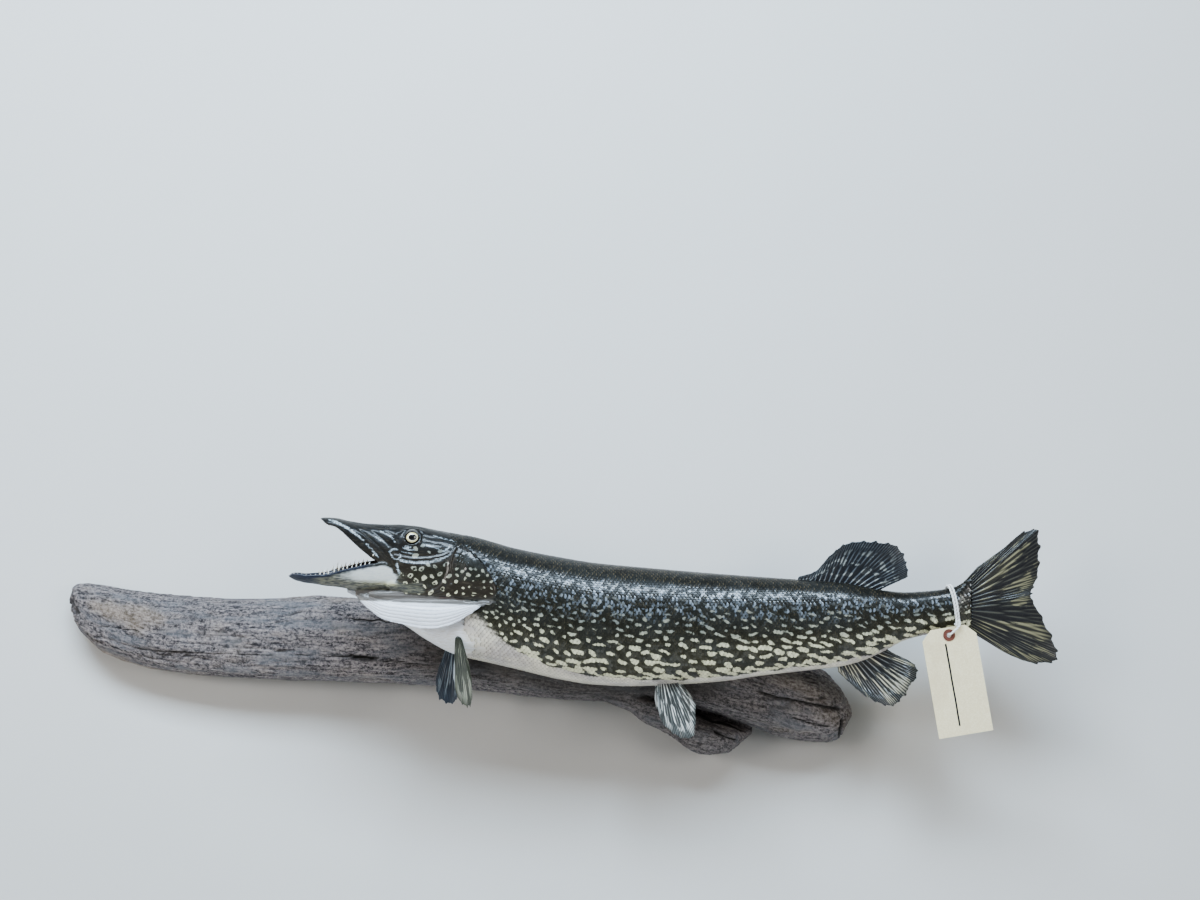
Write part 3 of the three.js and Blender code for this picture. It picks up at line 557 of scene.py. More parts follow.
# %% [markdown]
# Below each gill cover hangs the branchiostegal membrane: a thin white skin stretched over
# curved bony rays, which shows as long fine folds that sweep down and back to the hem.

# %% Gill membranes
MEMBRANE_THICK = 2.2
MEMBRANE_HEM_THICK = 1.6
MEMBRANE_TUCK = 0.2              # how far its root runs up under the jaw, of its height
MEMBRANE_FRONT, MEMBRANE_REAR = -219, -75.5
MEMBRANE_ROWS, MEMBRANE_POINTS = 74, 40
FOLD_COUNT = 10

for sign in (-1, 1):
    u = np.linspace(0, 1, MEMBRANE_ROWS)[:, None]
    down = np.linspace(-MEMBRANE_TUCK, 1, MEMBRANE_POINTS)
    v = np.concatenate([down, down[::-1]])[None]
    hung = np.maximum(v, 0)
    face = np.repeat([0.5, -0.5], MEMBRANE_POINTS)[None]
    x = MEMBRANE_FRONT + (MEMBRANE_REAR - MEMBRANE_FRONT) * u
    fold = np.sin((v * FOLD_COUNT + 1.6 * u) * 2 * np.pi) * np.minimum(1, 6 * u * (1 - u))
    wave = 0.9 * np.sin(x / 7.5 + 0.6) * hung ** 3 + 0.4 * np.sin(x / 3.4) * hung ** 4
    bulge = (4.5 * np.sin(np.pi * np.minimum(1, hung * 1.15)) * np.sin(np.pi * u)
             + 0.38 * fold * hung)
    reach = (membrane_hem(x) - membrane_root(x)) * hung ** 0.6
    across = membrane_root(x) + reach + bulge + wave
    thick = (MEMBRANE_THICK + (MEMBRANE_HEM_THICK - MEMBRANE_THICK) * hung) * face
    drop = np.where(v < 0, 30 * v, (membrane_bottom(x) - membrane_top(x)) * v)
    z = membrane_top(x) + np.where(v < 0, -drop, drop) + 0.5 * wave - thick * 0.28
    add_shell(grid(x + 0.12 * thick, sign * (across + thick), z),
              ["membrane"] * MEMBRANE_POINTS + ["gills"] * MEMBRANE_POINTS)
print("membranes laid")

# %% [markdown]
# The gill cover is a bony plate that overlaps the shoulder. Its outline is taken as a polar
# grid on the head's own surface and lifted a little, most at the rear edge, which leaves a
# step there as on the living fish.

# %% Gill covers


def head_side(x, z):
    """How far out the head's side lies at x and z."""
    edge, boxy = head_edge(x), head_boxy(x)
    rise = np.clip((z - edge) / (head_top(x) - edge), 0, 0.9995)
    sine = rise ** (boxy / 2)
    return head_half_width(x) * np.sqrt(1 - sine ** 2) ** (2 / (boxy + SIDE_ROUNDER))


COVER_OUTLINE = [
    [-116, 129], [-105, 128], [-90, 117], [-78, 102], [-70.5, 87], [-70.5, 79],
    [-75, 73.6], [-96, 73.4], [-118, 74], [-118, 100]]
COVER_MIDDLE = np.array([-97, 97])
COVER_PROUD = 1.5
COVER_RINGS = 26                 # from its middle to its outline

closed = np.array(COVER_OUTLINE + COVER_OUTLINE[:1], float)
fine_outline = np.concatenate([
    np.linspace(a, b, 12, endpoint=False) for a, b in zip(closed[:-1], closed[1:])])
for _ in range(10):
    fine_outline = (np.roll(fine_outline, 1, 0) + 2 * fine_outline
                    + np.roll(fine_outline, -1, 0)) / 4
for sign in (-1, 1):
    reach = np.linspace(0.02, 1, COVER_RINGS)
    reach = np.concatenate([reach, reach[::-1]])[:, None, None]
    place = COVER_MIDDLE + (fine_outline - COVER_MIDDLE) * reach
    x, z = place[..., 0], place[..., 1]
    outer = np.repeat([True, False], COVER_RINGS)[:, None]
    rear = smoothstep(-100, -74, x)
    fade = smoothstep(-117, -98, x)
    crown = COVER_PROUD * (1 - 0.35 * reach[..., 0] ** 6) + 0.25 * rear
    lift = np.where(outer, crown * fade - 0.9 * (1 - fade), -2.4)
    side = head_side(np.minimum(x, -60), np.maximum(z, 76)) - 0.4 + lift
    add_shell(np.stack([x, sign * side, z], -1), ["cover"] * len(fine_outline))
print("gill covers laid,", len(shells), "shells")

# %% [markdown]
# Rolls give the soft forms of the face: the upper lip and the long maxilla blade that ends
# behind the mouth's corner, the lower lip under the teeth, the ring of skin round the eye,
# the brow above it and the bar behind the cheek. Each is a tube along the head's surface,
# sunk so that only part of it stands proud.

# %% Rolls on the face


def cheek_path(corners, sign, sink):
    """A smooth line over the head's side through [x, z] corners, sunk by an amount."""
    steps = np.linspace(0, len(corners) - 1, 12 * len(corners))
    x, z = (np.interp(steps, np.arange(len(corners)), line) for line in zip(*corners))
    for _ in range(14):
        for line in (x, z):
            line[1:-1] = (line[:-2] + 2 * line[1:-1] + line[2:]) / 4
    return np.stack([x, sign * (head_side(x, z) - sink), z], -1)


def inner_path(x, sign, wide, high):
    """A path along the head, with its side and its height taken from [x, value] points."""
    side, z = (np.interp(x, *zip(*points)) for points in (wide, high))
    return np.stack([x, sign * side, z], -1)


def keep_tube(rings, region):
    """Keep a tube's shell."""
    points, triangles = loft(rings)
    shells.append((points, triangles, np.full(len(points), region)))


def add_roll(path, radius, region="head"):
    """A closed tube along a line of body places, tapered at both ends."""
    line = posed(path)
    ends = np.minimum(np.arange(len(line)), np.arange(len(line))[::-1])
    taper = np.sqrt(np.clip(ends / (9 if region == "membrane" else 5) + 0.12, 0, 1))
    keep_tube(tube(line, radius * taper, sides=14), region)


MAXILLA = [[-214, 144.5], [-201, 132.5], [-190, 121.5], [-182, 112.5], [-177.5, 105],
           [-176.5, 101]]
BROW = [[-176, 142], [-170, 145.6], [-162, 147.6], [-154, 147], [-146, 144]]
CHEEK_BAR = [[-110, 131], [-116.5, 123], [-119.5, 113], [-120, 103], [-124.5, 91],
             [-133, 83], [-144, 80]]
UNDER_EYE = [[-182, 121], [-170, 117.5], [-157, 115.5], [-142, 115.8], [-127, 119],
             [-118, 123]]
for sign in (-1, 1):
    for corners, sink, radius in ((MAXILLA, 1.5, 2.5), (BROW, 1.5, 2.0), (CHEEK_BAR, 1.3, 2.1),
                                  (UNDER_EYE, 1.4, 2.0)):
        add_roll(cheek_path(corners, sign, sink), radius)
    x = np.linspace(-252.5, -182, 60)
    lip = np.stack([x, sign * (head_half_width(x) - 1.5), head_edge(x) + 1.1], -1)
    add_roll(lip, 1.5, "lip")
    web = inner_path(np.linspace(-206, -128, 60), sign,
                     [[-206, 17], [-172, 23], [-160, 23.4], [-128, 28]],
                     [[-206, 79.5], [-172, 78], [-160, 76.5], [-128, 74]])
    add_roll(web, 3.6, "membrane")
    hinge = inner_path(np.linspace(-188, -142, 30), sign, [[-188, 20], [-168, 22], [-142, 24.5]],
                       [[-188, 91], [-168, 86], [-142, 85]])
    add_roll(hinge, 6.2, "jaw")
    x = np.linspace(-284.5, -177, 80)
    low_lip = np.stack([x, sign * (jaw_half_width(x) - 1.7), jaw_rim(x) - 0.5], -1)
    add_roll(low_lip, 1.45, "low_lip")
    a = round_turn(48)
    lid_x, lid_z = EYE[0] + 8.5 * np.cos(a), EYE[2] + 8.0 * np.sin(a)
    lid = np.stack([lid_x, sign * (head_side(lid_x, lid_z) - 0.5), lid_z], -1)
    keep_tube(tube(posed(np.concatenate([lid, lid[:2]])), 1.35, sides=12), "head")
print(len(shells), "shells with the rolls")

# %% [markdown]
# Each eye needs a socket. A sphere a hair larger than the eyeball is cut out of the head's
# shell, with the boolean modifier, before the shells are joined. The joined shells are
# then remeshed, so all inner walls go, and the trunk, which the scales will cover, is
# thinned while the head keeps its full density.

# %% Join, remesh and thin
VOXEL = 1.05
SKIN_TRIANGLES = 190000
HEAD_SHELL = 1                   # its place in the list of shells
SOCKET_GAP = 0.25
THIN_FACTOR = 1e-6               # how strongly the vertex group steers the thinning

head_piece = mesh_piece("skin", *shells[HEAD_SHELL][:2])
for sign in (-1, 1):
    place = posed([EYE[0], sign * EYE[1], EYE[2]]) * MM
    deselect()
    bpy.ops.mesh.primitive_uv_sphere_add(
        segments=48, ring_count=24, radius=(EYE_RADIUS + SOCKET_GAP) * MM, location=place)
    socket = bpy.context.object
    apply_modifier(head_piece, "BOOLEAN", object=socket, operation="DIFFERENCE",
                   solver="EXACT")
    bpy.data.objects.remove(socket)
parts = [mesh_piece(f"shell_{i}", *shell[:2])
         for i, shell in enumerate(shells) if i != HEAD_SHELL]
select_only(head_piece)
for piece in parts:
    piece.select_set(True)
bpy.ops.object.join()
skin = head_piece
apply_modifier(skin, "REMESH", mode="VOXEL", voxel_size=VOXEL * MM, use_smooth_shade=True)
print("the remesh has", len(skin.data.polygons), "faces")
apply_modifier(skin, "SMOOTH", factor=0.5, iterations=3)


def keep_largest_part(piece):
    """Delete loose bits, such as a bubble that the remesh leaves inside."""
    count = len(piece.data.vertices)
    edges = edges_of(piece)
    label = np.arange(count)
    while True:
        low = np.minimum(label[edges[:, 0]], label[edges[:, 1]])
        fresh = label.copy()
        np.minimum.at(fresh, edges[:, 0], low)
        np.minimum.at(fresh, edges[:, 1], low)
        fresh = fresh[fresh]
        if (fresh == label).all():
            break
        label = fresh
    names, sizes = np.unique(label, return_counts=True)
    keep = label == names[sizes.argmax()]
    piece.data.vertices.foreach_set("select", ~keep)
    piece.data.update()
    select_only(piece)
    bpy.ops.object.mode_set(mode="EDIT")
    bpy.ops.mesh.select_mode(type="VERT")
    bpy.ops.mesh.delete(type="VERT")
    bpy.ops.object.mode_set(mode="OBJECT")
    print(piece.name, "had", len(names), "separate parts")


bpy.context.tool_settings.mesh_select_mode = (True, False, False)
keep_largest_part(skin)
group = skin.vertex_groups.new(name="thin")
x = coordinates(skin)[:, 0]
weights = smoothstep(-125, -85, x) * 0.9 + 0.1
for level in range(1, 11):
    chosen = np.flatnonzero(np.round(weights * 10) == level)
    group.add(chosen.tolist(), level / 10, "REPLACE")
apply_modifier(skin, "DECIMATE", decimate_type="COLLAPSE", vertex_group="thin",
               ratio=SKIN_TRIANGLES / (2 * len(skin.data.polygons)),
               vertex_group_factor=THIN_FACTOR)
skin.vertex_groups.clear()
skin.data.calc_loop_triangles()
print("the skin has", len(skin.data.loop_triangles), "triangles")

# %% [markdown]
# Now the surface is modelled by strokes. Each skin vertex first learns which shell it
# came from, so that a stroke on the cheek can't touch the palate behind it. A groove or a
# ridge follows a line drawn in side view, or in top view for the crown, and moves the
# vertices along their normals by a soft profile.

# %% Which region each vertex belongs to
REGIONS = ["trunk", "head", "palate", "jaw", "trough", "tongue", "throat", "membrane",
           "gills", "cover", "lip", "low_lip"]

every = np.concatenate([points for points, _, _ in shells])
names = np.concatenate([names for _, _, names in shells])
shell_tree = KDTree(len(every))
for i, point in enumerate(every):
    shell_tree.insert(point, i)
shell_tree.balance()
skin_points = coordinates(skin)
skin_names = names[[shell_tree.find(point)[1] for point in skin_points]]
skin_edges = edges_of(skin)


def spread_over(values, rounds=4):
    """Blur a number at each of the skin's vertices over its neighbours."""
    values = np.asarray(values, float)
    a, b = skin_edges.T
    count = np.bincount(skin_edges.ravel(), minlength=len(values))
    for _ in range(rounds):
        total = np.bincount(a, values[b], len(values)) + np.bincount(b, values[a], len(values))
        values = (values + total / np.maximum(count, 1)) / 2
    return values


CALM_ROUNDS, CALM_SHARE = 12, 0.9          # the smoothing of the membranes
region = {name: spread_over(skin_names == name) for name in REGIONS}
hem = region["membrane"] + region["gills"]
calm = np.stack([spread_over(line, CALM_ROUNDS) for line in skin_points.T], -1)
skin_points += (calm - skin_points) * np.clip(hem, 0, 1)[:, None] * CALM_SHARE
for name in REGIONS:
    print(f"{name}: {(skin_names == name).sum()} vertices")

# %% Strokes


def line_distance(points, corners):
    """The distance of 2-D points from a line through corners, and how far along it."""
    corners = np.array(corners, float)
    best = np.full(len(points), 1e9)
    along = np.zeros(len(points))
    run = 0.0
    for a, b in zip(corners[:-1], corners[1:]):
        way = b - a
        length = np.hypot(*way)
        s = np.clip((points - a) @ way / length ** 2, 0, 1)
        far = np.hypot(*(points - a - s[:, None] * way).T)
        along = np.where(far < best, run + s * length, along)
        best = np.minimum(best, far)
        run += length
    return best, along / run


def smooth_line(corners, rounds=3):
    """Corners cut off again and again, so that a stroke has no kinks."""
    p = np.array(corners, float)
    for _ in range(rounds):
        q = np.empty((2 * len(p), p.shape[1]))
        q[0], q[-1] = p[0], p[-1]
        q[1:-1:2] = 0.75 * p[:-1] + 0.25 * p[1:]
        q[2:-1:2] = 0.25 * p[:-1] + 0.75 * p[1:]
        p = q
    return p


SIDE_VIEW, TOP_VIEW = (0, 2), (0, 1)


def stroke(mask, corners, width, height, axes=SIDE_VIEW, ends=True):
    """How much a stroke lifts each vertex: height along its line, soft over its width."""
    near = mask > 0.02
    lift = np.zeros(len(mask))
    far, along = line_distance(skin_body[near][:, axes], smooth_line(corners))
    fade = np.clip(np.minimum(along, 1 - along) * 6, 0, 1) if ends else 1
    lift[near] = height * np.exp(-(far / width) ** 2) * mask[near] * fade
    return lift


def mound(mask, centre, reach, height):
    """A soft round mound, or a hollow, in side view."""
    far = np.hypot(*((skin_body[:, SIDE_VIEW] - centre) / reach).T)
    return height * np.exp(-far ** 2) * mask


skin_body = body_places(skin_points)
skin_normals = vertex_normals(skin)
outer_head = np.clip(region["head"] + region["cover"] + region["lip"], 0, 1)
face = outer_head + region["jaw"] + region["low_lip"]
lift = np.zeros(len(skin_points))

# %% [markdown]
# The face: hollows before the eye and over the maxilla, the swelling of the cheek muscle,
# the grooves that bound the maxilla, the cheek, the gill cover's plates and the corner of
# the mouth, and the line of pores under the jaw. The crown has a median furrow between two
# low ridges that run from the snout to behind the eyes.

# %% Folds of the face
CREASES = [                      # [x, z] corners, width, height
    ([[-219, 151.5], [-203, 138], [-193, 128], [-184.5, 118.5], [-178.5, 111], [-174.6, 104],
      [-174.4, 99]], 1.1, -1.0),
    ([[-213, 137.5], [-201, 126.5], [-190.5, 117], [-183.5, 110]], 0.9, -0.6),
    ([[-172.5, 106], [-170.2, 98], [-168.8, 90], [-169.5, 83]], 1.2, -0.9),
    ([[-169, 108], [-166, 100], [-164.8, 92]], 1.0, -0.5),
    ([[-178, 100.5], [-175, 95], [-173.5, 88]], 1.0, -0.7),
    ([[-183, 118], [-170, 114.4], [-157, 112.4], [-142, 112.6], [-127, 116], [-120, 119]],
     1.1, -0.7),
    ([[-181, 124.5], [-171, 121], [-158, 119], [-143, 119.4], [-130, 122.6]], 1.0, -0.4),
    ([[-107, 133], [-113, 124], [-116, 114], [-116.8, 103], [-121, 90], [-130, 80.5],
      [-143, 77]], 1.3, -1.0),
    ([[-115, 128], [-121.5, 121], [-123.5, 112], [-123.8, 103], [-128, 92], [-136, 85.5],
      [-148, 83]], 1.0, -0.5),
    ([[-113, 88], [-102, 85], [-90, 83], [-78, 83.5]], 1.1, -0.6),
    ([[-108, 127], [-104, 112], [-100, 98], [-96, 86]], 1.6, 0.35),
    ([[-190, 147.5], [-183, 144], [-176, 139], [-173, 133]], 1.2, -0.5),
    ([[-205, 148], [-196, 143], [-186, 134], [-179, 127]], 1.6, -0.6),
    ([[-150, 141], [-140, 138.5], [-128, 137], [-118, 136]], 1.4, -0.5),
    ([[-147, 133], [-138, 131], [-127, 130]], 1.3, -0.35),
    ([[-148, 110], [-139, 106], [-130, 101]], 2.2, 0.4),
    ([[-160, 99], [-148, 92], [-138, 87]], 2.4, 0.4),
]
MOUNDS = [                       # [x, z], [reach in x, reach in z], height
    ([-143, 98], [15, 12], 1.0),
    ([-196, 140], [14, 8], -1.1),
    ([-182, 131], [9, 7], -0.7),
    ([-170, 128], [7, 5], -0.6),
    ([-95, 104], [14, 16], 0.6),
    ([-136, 130], [14, 7], 0.5),
]
for corners, width, height in CREASES:
    lift += stroke(outer_head, corners, width, height)
for centre, reach, height in MOUNDS:
    lift += mound(outer_head, centre, reach, height)

crown = outer_head * smoothstep(0.35, 0.7, skin_normals[:, 2])
lift += stroke(crown, [[-226, 0], [-200, 0], [-175, 0], [-150, 0], [-128, 0]], 2.6, -1.0,
               TOP_VIEW)


def both_sides(mask, corners, width, height):
    """The same stroke, seen from above, on the right and on the left."""
    return sum(stroke(mask, np.multiply(corners, [1, side]), width, height, TOP_VIEW)
               for side in (1, -1))


lift += both_sides(crown, [[-232, 7], [-210, 7.5], [-185, 8.5], [-160, 9.5], [-138, 12]],
                   2.4, 0.7)
lift += both_sides(crown, [[-200, 14], [-186, 15.5], [-174, 16]], 1.6, -0.6)
lift += both_sides(crown, [[-140, 3], [-130, 5], [-120, 9], [-112, 15]], 1.3, -0.5)

# The nostrils: two openings on each side, the front one with a raised flap.
for x, side, deep in [(-182.6, 15.4, 1.5), (-187.4, 14.6, 1.1)]:
    across = np.hypot(skin_body[:, 0] - x, np.abs(skin_body[:, 1]) - side)
    rim = np.exp(-((across - 2.1) / 0.8) ** 2) * 0.45
    lift += (rim - deep * np.exp(-(across / 1.25) ** 2)) * crown

# The jaw: a row of pores, the dentary's lower edge and the fold that parts the two sides.
for x in (-268, -251, -233, -214, -196):
    z = float(jaw_under(x)) + 3.4
    far = np.hypot(skin_body[:, 0] - x, skin_body[:, 2] - z)
    pit = -0.9 * np.exp(-(far / 1.2) ** 2) + 0.25 * np.exp(-((far - 2.1) / 0.7) ** 2)
    lift += pit * region["jaw"]
lift += stroke(region["jaw"], [[-276, 95.5], [-250, 94], [-225, 92.5], [-200, 91],
                               [-176, 90]], 1.6, -0.45)
under_jaw = region["jaw"] * smoothstep(0.5, 0.8, -skin_normals[:, 2])
lift += stroke(under_jaw, [[-284, 0], [-250, 0], [-220, 0]], 1.8, -1.2, TOP_VIEW)
lift += both_sides(under_jaw, [[-276, 5], [-250, 11], [-222, 15]], 1.2, -0.6)

# The palate has a median furrow between the two bands that carry its teeth.
lift += stroke(region["palate"], [[-250, 0], [-225, 0], [-195, 0]], 2.0, -0.8, TOP_VIEW)
lift += both_sides(region["palate"], [[-248, 6], [-230, 11], [-205, 14]], 2.2, 1.0)

# Behind the gill cover and over the throat the skin folds in under the plate.
behind = region["trunk"] + region["throat"]
lift += stroke(behind, [[-101, 126.5], [-88, 117.5], [-76, 102], [-68.6, 87.5],
                        [-68.6, 78], [-73.5, 71]], 1.5, -1.3, ends=False)

wander = np.sin(skin_body[:, 0] / 4.1 + 1.3 * np.sin(skin_body[:, 2] / 5.3))
wander += np.sin(skin_body[:, 2] / 3.3 + 1.7 * np.sin(skin_body[:, 0] / 6.1))
lift += 0.09 * wander * np.clip(face, 0, 1)
move_vertices(skin, skin_points + skin_normals * lift[:, None])
skin_points = coordinates(skin)
skin_normals = vertex_normals(skin)
print("the folds move the skin by", round(lift.min(), 2), "to", round(lift.max(), 2), "mm")

# %% [markdown]
# A pike is dark olive with rows of cream, bean-shaped spots that grow towards the belly
# and fade towards the back. Skin and scales have to carry the same pattern, so it is a set
# of fields over the body, kept as attributes: how far a vertex is inside the nearest spot,
# inside the pale belly, inside a painted stroke. The materials cut these fields with a
# sharp, slightly noisy threshold, so a spot's edge stays crisp on a coarse mesh.

# %% Girth
GIRTH_STEP = 3.0
GIRTH_PARTS = 240
GIRTH_X = np.arange(-150, 466, GIRTH_STEP)
GIRTH_ANGLE = np.linspace(np.pi / 2, -np.pi / 2, GIRTH_PARTS + 1)
ring = trunk_place(GIRTH_X[:, None], GIRTH_ANGLE[None], -COAT_DEPTH)
steps = np.linalg.norm(np.diff(ring[..., 1:], axis=1), axis=2)
ARC_TABLE = np.concatenate([np.zeros((len(GIRTH_X), 1)), np.cumsum(steps, axis=1)], 1)
print("half the girth is", round(ARC_TABLE[:, -1].max(), 1), "mm at most")


def half_girth(x):
    """From the back's middle line down one side to the belly's, in mm."""
    return np.interp(x, GIRTH_X, ARC_TABLE[:, -1])


def arc_at(x, angle):
    """How far round the side a place lies from the back's middle line."""
    i = np.clip((x - GIRTH_X[0]) / GIRTH_STEP, 0, len(GIRTH_X) - 1.001)
    j = np.clip((np.pi / 2 - angle) / np.pi * GIRTH_PARTS, 0, GIRTH_PARTS - 0.001)
    i0, j0 = i.astype(int), j.astype(int)
    s, t = i - i0, j - j0
    low = ARC_TABLE[i0, j0] * (1 - t) + ARC_TABLE[i0, j0 + 1] * t
    high = ARC_TABLE[i0 + 1, j0] * (1 - t) + ARC_TABLE[i0 + 1, j0 + 1] * t
    return low * (1 - s) + high * s


def angle_at(x, arc):
    """The angle of the place that lies this far round the side, for arrays of equal length."""
    i = np.clip(((x - GIRTH_X[0]) / GIRTH_STEP).astype(int), 0, len(GIRTH_X) - 1)
    angle = np.empty(len(x))
    for row in np.unique(i):
        here = i == row
        angle[here] = np.interp(arc[here], ARC_TABLE[row], GIRTH_ANGLE)
    return angle


def section_angle(body):
    """The angle of body places in the trunk's section, and how far down they lie, 0 to 1."""
    x, side, z = body.T
    top, bottom = body_top(x), body_bottom(x)
    rise = (z - (top + bottom) / 2) / ((top - bottom) / 2)
    reach = np.abs(side) / body_half_width(x)
    power = BODY_ROUNDNESS / 2
    angle = np.arctan2(np.sign(rise) * np.abs(rise) ** power, reach ** power)
    return angle, np.clip((top - z) / (top - bottom), 0, 1)


# %% [markdown]
# The spots are scattered by chance but keep their distance, as cells of real pigment do:
# candidates come in a seeded random order, and one is kept if no other lies within its own
# oval neighbourhood. The size of that oval, and the spot's own size and length, depend on
# the place: small and round behind the gills, large above the belly, long at the tail.

# %% Scatter the spots
random = np.random.default_rng(20)
BELLY_LINE = track([
    [-100, 0.62], [-75, 0.71], [-60, 0.78], [-40, 0.83], [0, 0.885], [80, 0.91],
    [133, 0.93], [272, 0.925], [317, 0.905], [360, 0.925], [462, 0.93]])
SPOT_PITCH = track([[-90, 6.8], [-50, 7.6], [0, 10.4], [80, 11.6], [250, 12], [400, 13.5]])
ROW_PITCH = track([[-90, 5.8], [0, 7.2], [120, 7.7], [300, 7.0], [400, 6.2], [462, 5.4]])


def scatter(candidates, pitch):
    """Keep candidates (n, 2), in order, that lie a pitch (n, 2) away from those kept."""
    kept = []
    for i, place in enumerate(candidates):
        if kept:
            far = np.hypot(*((candidates[kept] - place) / pitch[i]).T)
            if far.min() < 1:
                continue
        kept.append(i)
    return np.array(kept)


def arc_down(x, down):
    """How far round the side a place lies that is this far down the section, 0 to 1."""
    rise = 1 - 2 * down
    return arc_at(x, np.arcsin(np.sign(rise) * np.abs(rise) ** (BODY_ROUNDNESS / 2)))


TRUNK_CANDIDATES, HEAD_CANDIDATES = 9000, 4000
RINGED_SHARE = 0.7               # of the cheek's spots, which have a dark middle


def trunk_spots():
    """One side's spots: x, arc, half length, half height, tilt and dark middle."""
    x = random.uniform(-84, 458, TRUNK_CANDIDATES)
    down = random.uniform(0.24, 1, TRUNK_CANDIDATES)
    down *= BELLY_LINE(x) - 0.035
    arc = arc_down(x, down)
    pitch = np.stack([SPOT_PITCH(x), ROW_PITCH(x)], -1)
    pitch *= (0.82 + 0.3 * smoothstep(0.35, 0.85, down))[:, None]
    kept = scatter(np.stack([x, arc], -1), pitch)
    x, arc, down, pitch = x[kept], arc[kept], down[kept], pitch[kept]
    size = random.uniform([[0.5], [0.55]], [[1.5], [1.1]], (2, len(x)))
    fill = 0.78 + 0.34 * smoothstep(0.45, 0.85, down)
    half_long = pitch[:, 0] * 0.42 * size[0] * fill
    half_high = pitch[:, 1] * 0.345 * size[1] * fill
    tilt = random.normal(0.08, 0.22, len(x))
    spots = np.stack([x, arc, half_long, half_high, tilt, np.zeros(len(x))], -1)
    x = np.arange(-40, 455, 15.5)
    count = len(x)
    x += random.uniform(-4, 4, count)
    hem = np.stack([
        x, arc_down(x, BELLY_LINE(x) - 0.012), random.uniform(5.5, 8.5, count),
        random.uniform(1.6, 2.8, count), random.normal(0.12, 0.1, count), np.zeros(count)], -1)
    return np.concatenate([spots, hem])


def cheek_spots():
    """Spots of one side of the head, in x and z: ringed on the cheek, plain elsewhere."""
    x = random.uniform(-170, -73, HEAD_CANDIDATES)
    z = random.uniform(77, 131, HEAD_CANDIDATES)
    on_cheek = (x < -120) & (z < 111)
    on_cover = (x > -113) & (z < 106) & (z > 77)
    above = (x < -126) & (z > 119.5) & (z < 131) & (x < -150 + (131 - z) * 3)
    near_jaw = (x < -160) & (z > 104)
    fits = (on_cheek | on_cover | above) & ~near_jaw
    x, z = x[fits], z[fits]
    kept = scatter(np.stack([x, z], -1), np.where(x > -116, 6.2, 7.6)[:, None] * [1.05, 0.95])
    x, z = x[kept], z[kept]
    cheek = (x < -118) & (z < 112)
    half = np.where(cheek, random.uniform(1.9, 2.5, len(x)), random.uniform(1.3, 1.9, len(x)))
    half = np.where(z > 118, random.uniform(1.8, 2.6, len(x)), half)
    hollow = np.where(cheek & (random.random(len(x)) < RINGED_SHARE), 0.42, 0.0)
    tilt = random.normal(0, 0.5, len(x))
    return np.stack([x, z, half * random.uniform(1, 1.25, len(x)), half, tilt, hollow], -1)


spots_of_trunk = {sign: trunk_spots() for sign in (-1, 1)}
spots_of_head = {sign: cheek_spots() for sign in (-1, 1)}
print(len(spots_of_trunk[-1]), "spots on a flank and", len(spots_of_head[-1]), "on a cheek")

# %% Fields of the pattern
FAR_OUTSIDE = -4.0               # the lowest value of a field of strokes or spots
BATCH, WIDEST_SPOT = 4000, 16
HEAD_DEPTH, HEAD_LIE = 74, 20
LIE_APART = 50                   # keeps the noise of the two sides apart


def spot_field(u, v, spots):
    """How far places lie inside their nearest spot, in mm, negative outside."""
    u = u + 0.9 * np.sin(v / 1.9 + u / 5.3)
    v = v + 0.55 * np.sin(u / 2.3 + v / 4.1)
    field = np.full(len(u), FAR_OUTSIDE)
    spots = spots[np.argsort(spots[:, 0])]
    order = np.argsort(u)
    for start in range(0, len(u), BATCH):
        here = order[start:start + BATCH]
        low, high = u[here].min() - WIDEST_SPOT, u[here].max() + WIDEST_SPOT
        near = spots[(spots[:, 0] > low) & (spots[:, 0] < high)]
        for x, y, half_long, half_high, tilt, hollow in near:
            dx, dy = u[here] - x, v[here] - y
            p = (dx * math.cos(tilt) + dy * math.sin(tilt)) / half_long
            q = (dy * math.cos(tilt) - dx * math.sin(tilt)) / half_high
            far = (np.abs(p) ** 3 + np.abs(q) ** 3) ** (1 / 3)
            inside = (1 - far) * min(half_long, half_high)
            if hollow:
                inside = np.minimum(inside, (far - hollow) * half_high)
            field[here] = np.maximum(field[here], inside)
    return field


def fields_at(body, head_weight):
    """The pattern's fields at body places; head_weight is 1 on the head's own plates."""
    x, side, z = body.T
    plated = head_weight > 0.5
    angle, down = section_angle(body)
    arc = arc_at(x, angle)
    wave = 1.1 * np.sin(x / 8.2 + 1.2 * np.sin(x / 19)) + 0.6 * np.sin(x / 4.1 + 2)
    belly = (down - BELLY_LINE(x)) * (body_top(x) - body_bottom(x)) + wave
    belly = (belly + 3 * smoothstep(-40, -85, x)) * (1 - 0.9 * smoothstep(-20, -75, x))
    spots = np.full(len(x), FAR_OUTSIDE)
    for sign in (-1, 1):
        here = side * sign >= 0
        for part, v, table in ((here & ~plated, arc, spots_of_trunk),
                               (here & plated, z, spots_of_head)):
            spots[part] = spot_field(x[part], v[part], table[sign])
    head_down = np.clip((head_top(x) - z) / HEAD_DEPTH, 0, 1)
    belly = np.where(plated, -6, np.clip(belly, -6, 8))
    belly = np.where((head_weight < 0.5) & (x < -112) & (z < 60), 8, belly)
    lie = [x, np.where(plated, head_top(x) - z + HEAD_LIE, arc), np.sign(side) * LIE_APART]
    return dict(lie=np.stack(lie, -1) * MM, down=np.where(plated, 0.3 + 0.42 * head_down, down),
                belly=belly, spot=np.clip(spots, FAR_OUTSIDE, -FAR_OUTSIDE))


# %% Fields on the skin
skin_fields = fields_at(skin_body, outer_head)
x, side, z = skin_body.T


